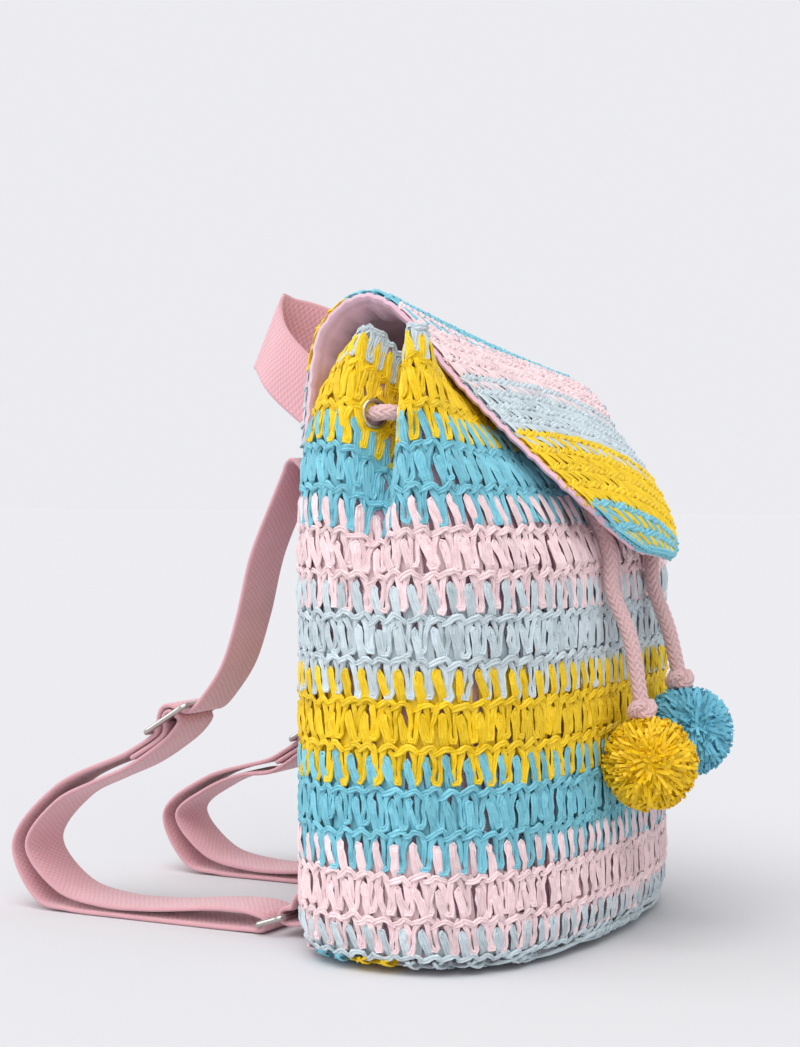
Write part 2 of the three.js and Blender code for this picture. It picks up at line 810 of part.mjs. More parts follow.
// The knot above a pompom, on the line from its centre up to the cord.
function knotOf(name) {
  const up = new THREE.Vector3(0, 0.16, 1).normalize();
  return pompomPlaces[name].clone().addScaledVector(up, pompomRadius + clearance + knotDiameter / 2);
}

// A tail outside the front wall, from its knot up to an eyelet.
function tail(turn, knot) {
  const levels = [150, 172, 188, 203, 225, 246];
  const lift = cordRadius + 2 * clearance + 1.2;
  const lying = levels.map((level) => offWall(turn, level, lift));
  lying[0].y = lerp(knot.y, lying[1].y, 0.4);
  lying[0].x = lerp(knot.x, lying[1].x, 0.5);
  return [knot, ...lying];
}

function drawcord() {
  const turns = eyeletSeats;
  const knots = [knotOf("yellow"), knotOf("turquoise")];
  const inFold = (name) => throughEyelet(name, eyeletCrown + clearance);
  const across = (a, b) => {
    const out = seats[a].out.clone().add(seats[b].out).setLength(cordBow);
    return inFold(a)[0].lerp(inFold(b)[0], 0.5).add(out);
  };
  const points = [
    ...tail(turns.front_left, knots[0]),
    ...throughEyelet("front_left", cordTurn),
    ...insideRun(turns.front_left - 0.01, turns.left_front + 0.03, 3),
    ...inFold("left_front").reverse(),
    across("left_front", "left_back"),
    ...inFold("left_back"),
    ...insideRun(turns.left_back - 0.01, turns.right_back + 0.01, 9),
    ...inFold("right_back").reverse(),
    across("right_back", "right_front"),
    ...inFold("right_front"),
    ...insideRun(turns.right_front - 0.03, turns.front_right + 0.01, 3),
    ...throughEyelet("front_right", cordTurn).reverse(),
    ...tail(turns.front_right, knots[1]).reverse(),
  ];
  const section = new THREE.Shape();
  section.setFromPoints(
    Array.from({ length: cordSides }, (_, i) => {
      const angle = (2 * Math.PI * i) / cordSides;
      return new THREE.Vector2(cordRadius * Math.cos(angle), cordRadius * Math.sin(angle));
    }),
  );
  const extrudePath = new CordRoute(points);
  const tube = new THREE.ExtrudeGeometry(section, { steps: points.length - 1, extrudePath });
  return knots.reduce((cord, knot) => {
    const lump = new THREE.SphereGeometry(knotDiameter / 2, 8, 6);
    lump.translate(knot.x, knot.y, knot.z);
    return cord.add(solidOf(lump));
  }, solidOf(tube));
}

// Pompom: a ball of cut straw, with every second point of its grid drawn in between the tufts

function pompom(name) {
  const around = 14;
  const down = 9;
  const ball = new THREE.SphereGeometry(pompomRadius, around, down);
  const position = ball.getAttribute("position");
  const point = new THREE.Vector3();
  for (let i = 0; i < position.count; i++) {
    const row = Math.floor(i / (around + 1));
    const column = (i % (around + 1)) % around;
    const pole = row === 0 || row === down;
    if (pole || (row + column) % 2 === 0) continue;
    point.fromBufferAttribute(position, i).setLength(pompomRadius - tuftDepth);
    position.setXYZ(i, point.x, point.y, point.z);
  }
  const place = pompomPlaces[name];
  const up = knotOf(name).sub(place).normalize();
  ball.applyQuaternion(new THREE.Quaternion().setFromUnitVectors(new THREE.Vector3(0, 1, 0), up));
  ball.translate(place.x, place.y, place.z);
  return geometryFrom(solidOf(ball));
}

// Assembly

add("crochet_body", cutAll(crochetWall(), [...gapCutters(), ...eyeletCuts]), straw.turquoise, 0.8);
add("base_panel", basePanel(), straw.yellow, 0.8);
add("body_lining", cutAll(bodyLining(), eyeletCuts), cottonMauve, 0.9);
add("flap_panel", flapPanel(), straw.pink, 0.8);
add("flap_lining", flapUnderside(), cottonMauve, 0.9);
add("handle_loop", ribbon(handleStations()), cottonPink, 0.9);

for (const [name, way] of Object.entries(side)) {
  const x = way * strapSpread;
  add(`strap_${name}`, ribbon(strapStations(x, lies[name])), cottonPink, 0.9);
  add(`tab_${name}`, ribbon(tabStations(x)), cottonPink, 0.9);

  const sliderMesh = add(`slider_${name}`, slider(), nickel, 0.25, 1);
  sliderMesh.position.set(x, backFace + lies[name].away, lies[name].height);
  sliderMesh.rotation.x = degToRad(sliderTilt);

  const ring = ringPlace(x);
  const ringMesh = add(`ring_${name}`, strapRing(), nickel, 0.25, 1);
  ringMesh.position.set(x, (ring.inner + ring.outer) / 2, (ringHeight + ringStrapHeight) / 2);
  ringMesh.rotation.x = Math.atan2(ringStrapHeight - ringHeight, ring.outer - ring.inner);
}

for (const [name, seat] of Object.entries(seats)) {
  add(`eyelet_${name}`, eyelet(seat), nickel, 0.25, 1);
}

add("drawcord", geometryFrom(drawcord()), cordPink, 0.9);
add("pompom_yellow", pompom("yellow"), straw.yellow, 0.8);
add("pompom_turquoise", pompom("turquoise"), straw.turquoise, 0.8);

export default bag;
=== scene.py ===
"""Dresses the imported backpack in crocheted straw, cotton lining and webbing, braided cord and pompoms."""

import math

import bpy
import numpy as np
from bpy.props import FloatProperty, FloatVectorProperty, IntProperty, PointerProperty
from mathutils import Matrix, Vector


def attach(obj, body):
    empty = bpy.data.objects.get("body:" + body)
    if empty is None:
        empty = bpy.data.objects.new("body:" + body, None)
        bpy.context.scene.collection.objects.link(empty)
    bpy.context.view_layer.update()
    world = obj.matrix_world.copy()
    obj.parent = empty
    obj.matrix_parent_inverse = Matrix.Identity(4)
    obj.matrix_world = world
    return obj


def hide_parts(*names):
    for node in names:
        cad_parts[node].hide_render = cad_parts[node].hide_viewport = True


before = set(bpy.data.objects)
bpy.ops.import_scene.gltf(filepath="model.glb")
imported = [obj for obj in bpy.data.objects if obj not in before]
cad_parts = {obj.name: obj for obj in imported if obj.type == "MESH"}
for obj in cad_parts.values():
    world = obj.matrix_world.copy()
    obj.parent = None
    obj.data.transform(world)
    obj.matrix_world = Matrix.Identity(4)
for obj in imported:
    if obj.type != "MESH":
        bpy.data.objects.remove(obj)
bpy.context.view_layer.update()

bl_info = {
    "name": "Straw Backpack",
    "version": (1, 0, 0),
    "blender": (4, 5, 0),
    "location": "View3D > Sidebar > Straw Backpack",
    "description": "Builds a crocheted drawstring backpack from its packed frame",
    "category": "Add Mesh",
}

MM = 0.001
CRUMPLE = 0.13  # how far a corner of the creased straw strays, in millimetres
STRAW_SPREAD = 0.1  # how far the tone of a strand strays, as a share, in the crochet and in the pompoms
POMPOM_SPREAD = 0.14

# Body, in millimetres, as the solids have it
BODY_WIDTH = 262.0
BODY_DEPTH = 140.0
BODY_HEIGHT = 297.0
CORNER_POWER = 2.65
WALL_THICKNESS = 5.6
FOOT_CURL = 12.0
FOOT_HEIGHT = 26.0
ROW_HEIGHT = 19.5
TOP_ROW = BODY_HEIGHT - 14.4
GATHER_START = 185.0
MOUTH_WIDTH = 230.0
MOUTH_FRONT = 46.0
MOUTH_BACK = 36.0
FRONT_LEAN = 1.35
BACK_LEAN = 4.0
WAIST_PINCH = 1.23
EAR_POWER = 4
PLEAT_START = 150.0
PLEAT_DEPTH = 28.0
PLEAT_REACH = 9.5
PLEAT_DIP = 20.0
SLUMP_START = 215.0
SLUMP = 34.0
SLUMP_POWER = 0.6
CLEARANCE = 0.3
LINING_THICKNESS = 1.2
LINING_DROP = 6.0
BACK_FACE = BODY_DEPTH / 2
FRONT_FACE = -BODY_DEPTH / 2

# Flap
FLAP_THICKNESS = 4.5
FLAP_LINING = 1.2
FLAP_HALF_WIDTH = 75.0
FLAP_ROWS = 26
FLAP_SEAM_ROW = 2  # rows from the rim's down to the one that it is sewn along
FLAP_SLANT = math.radians(12)
FLAP_CROWN = 7.0
FLAP_TIP_START = 0.8
FLAP_TIP_POWER = 2.5
FLAP_TIP_END = 0.98
SEWN_GAP = 0.8

# Webbing and its metal
WEBBING_WIDTH = 32.0
WEBBING_THICKNESS = 2.4
WEBBING_HALF = WEBBING_THICKNESS / 2
STRAP_SPREAD = 62.0
SLIDER_LENGTH = 31.0
SLIDER_THICKNESS = 2.6
SLIDER_CORNER = 3.0
BAR_WIDTH = 3.5
SIDE_BAR = 4.0
METAL_WIDTH = WEBBING_WIDTH + 2 * CLEARANCE + 2 + 2 * SIDE_BAR
SLIDER_TILT = math.radians(-32)
RING_BARS = 16.0
RING_THICKNESS = 3.0
RING_CORNER = 3.5
RING_GAP = 9.0
RING_HEIGHT = 10.5
RING_STRAP_HEIGHT = 5.4
# For each strap: back wall to its slider, the slider's height, and back wall to the far end of its loop
STRAP_LIES = {"left": (73.0, 104.0, 170.5), "right": (61.0, 88.0, 158.5)}
HANDLE_SPREAD = 24.0
HANDLE_REACH = 56.0
HANDLE_RISE = 34.0
HANDLE_HEIGHT = 268.0
HANDLE_TWIST = 12.5
HANDLE_FORWARD = 3.0
HANDLE_SEAM = 0.05
HANDLE_GAP = 1.2

# Cord, eyelets and pompoms
CORD_RADIUS = 4.0
KNOT_DIAMETER = 13.0
KNOT_SIZE = (1.55, 1.55, 1.25)
KNOT_DROP = 2.4
# Heights where the tails lie on the wall, and the way up from a pompom to its knot
TAIL_LEVELS = (150.0, 172.0, 188.0, 203.0, 225.0, 246.0)
TAIL_LEAN = (0.0, 0.16, 1.0)
TAIL_LIFT = CORD_RADIUS + 2 * CLEARANCE + 1.2
# Strands of the braid, as shares of the cord's radius: how far out they run, how much further over others
# and less far under them, and their width and depth
BRAID_REACH = 0.74
BRAID_WEAVE = 0.075
BRAID_WIDTH = 0.55
BRAID_DEPTH = 0.36
EYELET_HEIGHT = 262.0
EYELET_BORE = 10.0
EYELET_FLANGE = 15.0
EYELET_CROWN = 1.3
SIDE_EYELETS = 8.5
FRONT_EYELETS = 27.0
CORD_TURN = 7.0
CORD_BOW = 2.0
INNER_INSET = WALL_THICKNESS + CLEARANCE + LINING_THICKNESS
POMPOM_PLACES = {"yellow": (-21.0, -92.5, 89.0), "turquoise": (32.0, -92.0, 99.0)}
# The middle of each pompom's near half, as a way out from its centre
POMPOM_MIDDLES = {"yellow": (-0.93, -0.35, 0.1), "turquoise": (-0.77, -0.66, 0.43)}
# Cut strips: how far one strays from its own way, where it begins and how far it reaches, as shares of the
# pompom's radius, its width and its thickness
STRIP_STRAY = 0.19
STRIP_ROOT = 0.78
STRIP_REACH = (0.1, 0.3)
STRIP_WIDTH = (1.8, 2.6)
STRIP_THICKNESS = (0.5, 0.8)
HEART_SHARE = 0.82
# Spacing of a mesh's rings along the webbing, the threaded cord, and its tails and knots
WEBBING_STEP = 2.2
THREADED_STEP = 2.2
TAIL_STEP = 1.5

# Stripes of the wall from the mouth down, each two rows but the first and last
WALL_STRIPES = ["pale", "yellow", "turquoise", "pink", "pale", "yellow", "turquoise", "pink", "pale"]
# Stripes of the flap from its seam to its tip, four rows each and two in the last, and the shares of its
# length where they begin and end at its left and right edges
FLAP_STRIPES = ["pale", "yellow", "turquoise", "pink", "pale", "yellow", "turquoise"]
FLAP_STRIPE_ROWS = 4
FLAP_STRIPES_LEFT = (0, 0.14, 0.296, 0.415, 0.597, 0.735, 0.905, 1)
FLAP_STRIPES_RIGHT = (0, 0.16, 0.32, 0.55, 0.65, 0.805, 0.965, 1)


def linear(code):
    """Linear colour of an sRGB hex value."""
    parts = [int(code[i : i + 2], 16) / 255 for i in (1, 3, 5)]
    return tuple(p / 12.92 if p <= 0.04045 else ((p + 0.055) / 1.055) ** 2.4 for p in parts)


def colour(name, code, description):
    return FloatVectorProperty(
        name=name, description=description, subtype="COLOR", size=3, min=0, max=1, default=linear(code)
    )


def length(name, default, description):
    return FloatProperty(name=name, description=description, default=default * MM, min=0, unit="LENGTH")


def number(name, default, least, description):
    return IntProperty(name=name, description=description, default=default, min=least)


class StrawBagSizes(bpy.types.PropertyGroup):
    """Sizes of the straw, cotton and cord"""

    stitches: number("Stitches", 75, 20, "Stitches round the wall")
    tape: length("Tape", 3.0, "Width of the straw tape where it shows")
    tape_depth: length("Tape depth", 1.6, "Thickness of the folded straw tape")
    flap_pitch: length("Flap pitch", 4.3, "Stitch spacing across the flap")
    braid_pitch: length("Braid pitch", 29, "Length of one turn of a strand in the cord")
    webbing_rib: length("Webbing rib", 1.1, "Spacing of the threads across the webbing")
    pompom: length("Pompom", 43, "Diameter of a pompom")
    pompom_strips: number("Pompom strips", 1800, 50, "Cut strips in a pompom")


class StrawBagColours(bpy.types.PropertyGroup):
    """Colours of the straw, cotton, metal and stage"""

    yellow: colour("Yellow", "#F0CB13", "Yellow straw")
    turquoise: colour("Turquoise", "#7BC3D4", "Turquoise straw")
    pink: colour("Pink", "#F1D7DA", "Pink straw")
    pale: colour("Pale blue", "#C8D5DB", "Pale blue straw")
    pompom_yellow: colour("Pompom yellow", "#F0C600", "Yellow pompom")
    pompom_turquoise: colour("Pompom turquoise", "#6DBDD5", "Turquoise pompom")
    webbing: colour("Webbing", "#DFA6AF", "Cotton webbing")
    lining: colour("Lining", "#F0C3D6", "Cotton lining")
    cord: colour("Cord", "#DCB7B8", "Cotton cord")
    metal: colour("Metal", "#BAB5AF", "Nickel plating")
    floor: colour("Floor", "#D7D7DB", "Floor")
    backdrop: colour("Backdrop", "#ECECF0", "Background")


def settings(context):
    return context.scene.straw_bag_sizes, context.scene.straw_bag_colours


# Plain geometry


def unit(vectors):
    return vectors / np.linalg.norm(vectors, axis=-1, keepdims=True)


def lerp(a, b, share):
    return a + (b - a) * share


def smoothstep(value, low, high):
    share = np.clip((value - low) / (high - low), 0, 1)
    return share * share * (3 - 2 * share)


def catmull_rom(points, steps):
    """A smooth run through points, in so many steps between each two, timed as the solids' routes are."""
    points = np.asarray(points, float)
    first = 2 * points[0] - points[1]
    last = 2 * points[-1] - points[-2]
    padded = np.vstack([first, points, last])
    share = np.linspace(0, 1, steps, endpoint=False)[:, None]
    runs = []
    for a, b, c, d in zip(padded, padded[1:], padded[2:], padded[3:]):
        gaps = [max(np.linalg.norm(q - p) ** 0.5, 1e-4) for p, q in ((a, b), (b, c), (c, d))]
        start = (b - a) / gaps[0] - (c - a) / (gaps[0] + gaps[1]) + (c - b) / gaps[1]
        end = (c - b) / gaps[1] - (d - b) / (gaps[1] + gaps[2]) + (d - c) / gaps[2]
        start = start * gaps[1]
        end = end * gaps[1]
        cubic = 2 * b - 2 * c + start + end
        square = -3 * b + 3 * c - 2 * start - end
        runs.append(b + share * (start + share * (square + share * cubic)))
    return np.vstack([*runs, points[-1:]])


def run_lengths(points):
    steps = np.linalg.norm(np.diff(points, axis=0), axis=1)
    return np.concatenate([[0], np.cumsum(steps)])


def read_off(wanted, places, rows):
    """Rows of numbers at wanted places, between those at known places."""
    return np.stack([np.interp(wanted, places, column) for column in rows.T], axis=-1)


def points_at(points, shares):
    """Points at shares of a run's length."""
    lengths = run_lengths(points)
    return read_off(np.asarray(shares) * lengths[-1], lengths, points)


def even_run(points, spacing):
    """The same run in equal steps of about that spacing."""
    total = run_lengths(points)[-1]
    return points_at(points, np.linspace(0, 1, max(3, round(total / spacing) + 1)))


def spline_weights(controls, samples):
    """Weights that turn rows of control points into rows of samples on a smooth curve."""
    weights = np.zeros((samples, controls))
    for row, place in enumerate(np.linspace(0, controls - 1, samples)):
        i = min(int(place), controls - 2)
        t = place - i
        parts = (
            (-t + 2 * t**2 - t**3) / 2,
            (2 - 5 * t**2 + 3 * t**3) / 2,
            (t + 4 * t**2 - 3 * t**3) / 2,
            (-(t**2) + t**3) / 2,
        )
        for offset, part in zip((-1, 0, 1, 2), parts):
            weights[row, min(max(i + offset, 0), controls - 1)] += part
    return weights


def waves(turns):
    return np.sin(2 * np.pi * turns)


def oval_section(sides, squareness=1.0):
    """Points round an oval, or round a flatter tape where the squareness is below 1."""
    angles = 2 * np.pi * (np.arange(sides) + 0.5) / sides
    oval = np.stack([np.cos(angles), np.sin(angles)], axis=-1)
    return np.sign(oval) * np.abs(oval) ** squareness


# Section of a tape of folded paper, with a crease down the middle of its face
CREASED_SECTION = np.array([(1, 0.1), (0.55, 1), (0, 0.45), (-0.5, 0.95), (-1, 0), (-0.1, -0.9)])


def band_section():
    """Half of a woven band's section from edge to edge, with rolled selvedges, and back again."""
    across = np.array([-1, -0.965, -0.9, -0.4, 0, 0.4, 0.9, 0.965, 1])
    height = np.array([0.3, 0.85, 0.95, 1, 1, 1, 0.95, 0.85, 0.3])
    top = np.stack([across, height], axis=-1)
    return np.vstack([top[::-1], top * [1, -1]])


class Skin:
    """Quads gathered from tapes, with each corner's share around and length along, and a tint per tape."""

    def __init__(self, smooth=True):
        self.points = []
        self.quads = []
        self.corners = []
        self.tints = []
        self.count = 0
        self.smooth = smooth

    def add(self, points, quads, corners, tints):
        self.points.append(points)
        self.quads.append(quads + self.count)
        self.corners.append(corners)
        self.tints.append(tints)
        self.count += len(points)

    def tape(self, path, outs, width, depth, section, **more):
        """Sweeps a section along one path, as tapes does along many."""
        self.tapes(path[None], outs[None], width, depth, section, **more)

    def tapes(
        self, paths, outs, widths, depths, section, tints=None, closed=False, crumple=None, sides=None
    ):
        """Sweeps a section along paths shaped (tapes, samples, 3), its flat side towards outs and its width
        square to that or along given sides. A crumple moves each corner by a little."""
        paths = np.asarray(paths, float)
        amount, samples = paths.shape[:2]
        count = len(section)
        if closed:
            ahead = np.roll(paths, -1, axis=1) - np.roll(paths, 1, axis=1)
        else:
            ahead = np.gradient(paths, axis=1)
        ahead = unit(ahead)
        side = unit(np.cross(ahead, np.broadcast_to(outs, paths.shape))) if sides is None else sides
        up = unit(np.cross(side, ahead))
        widths = np.broadcast_to(widths, (amount, samples))[..., None, None]
        depths = np.broadcast_to(depths, (amount, samples))[..., None, None]
        rings = paths[:, :, None] + side[:, :, None] * widths / 2 * section[:, :1]
        rings = rings + up[:, :, None] * depths / 2 * section[:, 1:]
        if crumple is not None:
            rings = rings + crumple.normal(size=rings.shape) * CRUMPLE
        spans = samples if closed else samples - 1
        tape, sample, corner = np.meshgrid(
            np.arange(amount), np.arange(spans), np.arange(count), indexing="ij"
        )
        after = (sample + 1) % samples
        turned = (corner + 1) % count
        quads = np.stack(
            [
                (tape * samples + sample) * count + corner,
                (tape * samples + after) * count + corner,
                (tape * samples + after) * count + turned,
                (tape * samples + sample) * count + turned,
            ],
            axis=-1,
        ).reshape(-1, 4)
        steps = np.linalg.norm(np.diff(paths, axis=1), axis=2)
        along = np.concatenate([np.zeros((amount, 1)), np.cumsum(steps, axis=1)], axis=1)
        along = np.concatenate([along, along[:, -1:] + steps[:, -1:]], axis=1)
        low = along[tape, sample]
        high = along[tape, sample + 1]
        near = corner / count
        far = (corner + 1) / count
        corners = np.stack([near, low, near, high, far, high, far, low], axis=-1).reshape(-1, 4, 2)
        if not closed:
            fan = np.array([(0, i, i + 1, i + 2) for i in range(1, count - 2, 2)])
            start = (np.arange(amount) * samples * count)[:, None, None] + fan
            end = start[..., ::-1] + (samples - 1) * count
            caps = np.vstack([start.reshape(-1, 4), end.reshape(-1, 4)])
            quads = np.vstack([quads, caps])
            corners = np.vstack([corners, np.full((len(caps), 4, 2), 0.5)])
        if tints is None:
            tints = np.full(amount, 0.5)
        self.add(rings.reshape(-1, 3), quads, corners, np.repeat(tints, samples * count))

    def grid(self, points, wrapped=False):
        """A sheet over a grid of points, with corners in millimetres across and along."""
        rows, columns = points.shape[:2]
        spans = columns if wrapped else columns - 1
        row, column = np.meshgrid(np.arange(rows - 1), np.arange(spans), indexing="ij")
        beside = (column + 1) % columns
        quads = np.stack(
            [
                row * columns + column,
                row * columns + beside,
                (row + 1) * columns + beside,
                (row + 1) * columns + column,
            ],
            axis=-1,
        ).reshape(-1, 4)
        across = np.linalg.norm(points[:, 1] - points[:, 0], axis=-1).max()
        along = np.linalg.norm(np.diff(points, axis=0), axis=-1).max()
        left = column * across
        low = row * along
        corners = np.stack(
            [left, low, left + across, low, left + across, low + along, left, low + along], axis=-1
        ).reshape(-1, 4, 2)
        flat = points.reshape(-1, 3)
        self.add(flat, quads, corners, np.full(len(flat), 0.5))

    def piece(self, name, material, slot, nodes):
        """The gathered quads as an object that stands for CAD nodes."""
        points = np.vstack(self.points) * MM
        quads = np.vstack(self.quads)
        mesh = bpy.data.meshes.new(name)
        mesh.vertices.add(len(points))
        mesh.vertices.foreach_set("co", points.astype(np.float32).ravel())
        mesh.loops.add(quads.size)
        mesh.loops.foreach_set("vertex_index", quads.astype(np.int32).ravel())
        mesh.polygons.add(len(quads))
        mesh.polygons.foreach_set("loop_start", np.arange(len(quads), dtype=np.int32) * 4)
        mesh.polygons.foreach_set("use_smooth", np.full(len(quads), self.smooth))
        layer = mesh.uv_layers.new(name="tape")
        layer.uv.foreach_set("vector", np.vstack(self.corners).astype(np.float32).ravel())
        tint = mesh.attributes.new("tint", "FLOAT", "POINT")
        tint.data.foreach_set("value", np.concatenate(self.tints).astype(np.float32))
        mesh.update(calc_edges=True)
        mesh.materials.append(material)
        made = bpy.data.objects.new(name, mesh)
        bpy.context.scene.collection.objects.link(made)
        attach(made, "root")
        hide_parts(*nodes)
        return made


# The wall as a surface, the same one that the solids follow


def squared(value):
    return np.sign(value) * np.abs(value) ** (2 / CORNER_POWER)


def plan_lengths():
    angles = np.linspace(0, 2 * np.pi, 1601)
    x = BODY_WIDTH / 2 * squared(np.cos(angles))
    y = BODY_DEPTH / 2 * squared(np.sin(angles))
    return angles, run_lengths(np.stack([x, y], axis=-1))


PLAN_ANGLES, PLAN_LENGTHS = plan_lengths()
GIRTH = PLAN_LENGTHS[-1]


def wall_point(turn, level, inset=0.0):
    """Points of the wall. A turn runs from the right side over the back, the left side and the front."""
    turn, level, inset = np.broadcast_arrays(turn, level, inset)
    share = np.mod(turn, 1.0)
    angle = np.interp(share * GIRTH, PLAN_LENGTHS, PLAN_ANGLES)
    lean = np.clip((level - GATHER_START) / (BODY_HEIGHT - GATHER_START), 0, 1)
    foot = np.clip(1 - level / FOOT_HEIGHT, 0, 1)
    curl = FOOT_CURL * (1 - np.sqrt(1 - foot**2))
    half_width = lerp(BODY_WIDTH, MOUTH_WIDTH, lean**2) / 2
    front = np.sin(angle) < 0
    half_front = lerp(MOUTH_FRONT, BODY_DEPTH / 2, (1 - lean) ** FRONT_LEAN)
    half_back = lerp(BODY_DEPTH / 2, MOUTH_BACK, lean**BACK_LEAN)
    along = squared(np.cos(angle))
    pinch = np.where(front, 1 - WAIST_PINCH * lean**2 * (1 - along**EAR_POWER), 1)
    half_depth = np.where(front, half_front, half_back) * pinch
    from_side = GIRTH * np.minimum(share % 0.5, 0.5 - share % 0.5)
    fold = smoothstep(level, PLEAT_START, BODY_HEIGHT) * np.exp(-((from_side / PLEAT_REACH) ** 2))
    x = (half_width - curl - inset - PLEAT_DEPTH * fold) * along
    y = (half_depth - curl - inset) * squared(np.sin(angle))
    from_left = np.clip(0.5 + half_width * along / MOUTH_WIDTH, 0, 1)
    drop = np.clip((level - SLUMP_START) / (BODY_HEIGHT - SLUMP_START), 0, 1)
    sink = SLUMP * from_left**SLUMP_POWER * drop
    return np.stack([x, y, level - PLEAT_DIP * fold - sink], axis=-1)


def wall_normal(turn, level, span=2.5):
    """Ways out of the wall, measured over so many millimetres to each side."""
    step = span / GIRTH
    rise = 2.0
    turn = np.asarray(turn, float)
    level = np.asarray(level, float)
    around = wall_point(turn + step, level) - wall_point(turn - step, level)
    up = wall_point(turn, level + rise) - wall_point(turn, level - rise)
    return unit(np.cross(around, up))


def off_wall(turn, level, lift):
    lift = np.asarray(lift, float)[..., None]
    return wall_point(turn, level) + wall_normal(turn, level) * lift


def wall_room(turn, level, out):
    """The wall's depth along ways out of it, as a share of its thickness. A pleat's flanks have less."""
    through = wall_point(turn, level) - wall_point(turn, level, WALL_THICKNESS)
    return np.clip((through * out).sum(axis=-1) / WALL_THICKNESS, 0.2, 1)


def even_turns(shares, level):
    """Turns at shares of the way round the wall at a level, spaced evenly over the folds of each half."""
    halves = []
    for start in (0, 0.5):
        turns = np.linspace(start, start + 0.5, 600)
        around = run_lengths(wall_point(turns, level))
        halves.append((start + around / around[-1] / 2, turns))
    places, turns = (np.concatenate(both) for both in zip(*halves))
    return np.interp(np.mod(shares, 1), places, turns)


def back_turn(x, level):
    """Where upright planes at x meet the back of the wall."""
    x = np.asarray(x, float)
    right = np.full(x.shape, 0.02)
    left = np.full(x.shape, 0.48)
    for _ in range(40):
        middle = (right + left) / 2
        beyond = wall_point(middle, level)[..., 0] > x
        right = np.where(beyond, middle, right)
        left = np.where(beyond, left, middle)
    return (right + left) / 2


# The flap as a surface


def seam_point(x):
    level = TOP_ROW - FLAP_SEAM_ROW * ROW_HEIGHT
    depth = FLAP_THICKNESS + FLAP_LINING + 3 * CLEARANCE
    lift = depth * math.cos(FLAP_SLANT) + SEWN_GAP
    return off_wall(back_turn(x, level), level, lift)


def flap_edge(way, back, crest, front):
    """An edge of the flap through its seam, its back, its crest and its front. Each place is millimetres
    in from the flap's side, out from the bag's face or along y at the crest, and down from the mouth."""
    places = [(inward, BACK_FACE + out, drop) for inward, out, drop in back]
    places += crest
    places += [(inward, FRONT_FACE - out, drop) for inward, out, drop in front]
    points = [(way * (FLAP_HALF_WIDTH - inward), y, BODY_HEIGHT - drop) for inward, y, drop in places]
    return catmull_rom([seam_point(way * FLAP_HALF_WIDTH), *points], 40)


FLAP_LEFT = flap_edge(
    -1,
    [(0, -3, 45), (0, -6, 18), (0, -10.5, 1)],
    [(0, 50, -10), (0, 39, -16.5), (0, 27, -17.5), (0, 14, -11), (1, -22, 27)],
    [(5, -25, 50), (13, 7, 83), (17, 19, 105)],
)
FLAP_RIGHT = flap_edge(
    1,
    [(0, -3, 46), (1, -8, 24), (3, -20, 10)],
    [(7, 15, 11), (13, -25, 25)],
    [(19, -25, 48), (27, -2, 74), (35, 12, 95), (39, 19, 115)],
)
SEAM_X = np.linspace(-FLAP_HALF_WIDTH - 8, FLAP_HALF_WIDTH + 8, 84)
SEAM_Y = seam_point(SEAM_X)[:, 1]


def flap_sheet(across, along):
    left = points_at(FLAP_LEFT, along)
    right = points_at(FLAP_RIGHT, along)
    point = left + (right - left) * across[..., None]
    straight = lerp(FLAP_LEFT[0, 1], FLAP_RIGHT[0, 1], across)
    bow = np.interp(lerp(-FLAP_HALF_WIDTH, FLAP_HALF_WIDTH, across), SEAM_X, SEAM_Y) - straight
    point[..., 1] += bow * (1 - smoothstep(along, 0, 0.25))
    return point


def flap_place(across, along, lift):
    """Points off the flap's face and the way out of it there."""
    across, along, lift = np.broadcast_arrays(across, along, lift)
    along = np.clip(along, 0, 1)
    step = 0.01
    width = flap_sheet(across + step, along) - flap_sheet(across - step, along)
    before = flap_sheet(across, np.clip(along - step, 0, 1))
    ahead = flap_sheet(across, np.clip(along + step, 0, 1)) - before
    out = unit(np.cross(ahead, width))
    crown = FLAP_CROWN * (1 - (2 * across - 1) ** 2) * smoothstep(along, 0.45, 0.65)
    return flap_sheet(across, along) + out * (crown + lift)[..., None], out


def flap_narrow(along):
    """Share of the flap's width that is left near its round tip."""
    tip = FLAP_TIP_END * np.clip((along - FLAP_TIP_START) / (1 - FLAP_TIP_START), 0, 1)
    return (1 - tip**FLAP_TIP_POWER) ** (1 / FLAP_TIP_POWER)


# Places of the eyelets and the drawcord's route

EYELET_TURNS = {
    "front_left": 0.75 - FRONT_EYELETS / GIRTH,
    "front_right": 0.75 + FRONT_EYELETS / GIRTH,
    "left_front": 0.5 + SIDE_EYELETS / GIRTH,
    "left_back": 0.5 - SIDE_EYELETS / GIRTH,
    "right_back": SIDE_EYELETS / GIRTH,
    "right_front": 1 - SIDE_EYELETS / GIRTH,
}


def eyelet_seat(name, turn):
    """An eyelet's point on the wall, the way out, and the wall's depth there with its lining."""
    point = wall_point(turn, EYELET_HEIGHT)
    if name.startswith("front"):
        out = wall_normal(turn, EYELET_HEIGHT)
    else:
        out = wall_normal(turn, EYELET_HEIGHT, SIDE_EYELETS)
    depth = float(np.dot(point - wall_point(turn, EYELET_HEIGHT, INNER_INSET), out))
    return point, out, depth


EYELET_SEATS = {name: eyelet_seat(name, turn) for name, turn in EYELET_TURNS.items()}


def beside_eyelet(out):
    """The level way and the upward way across an eyelet's axis."""
    flat = unit(np.cross(out, (0.0, 0.0, 1.0)))
    return flat, np.cross(flat, out)


def through_eyelet(name, outside):
    """Points along an eyelet's axis, from so far outside the wall to inside it."""
    point, out, depth = EYELET_SEATS[name]
    return [point + out * height for height in (outside, 0, -depth, -(depth + CORD_TURN))]


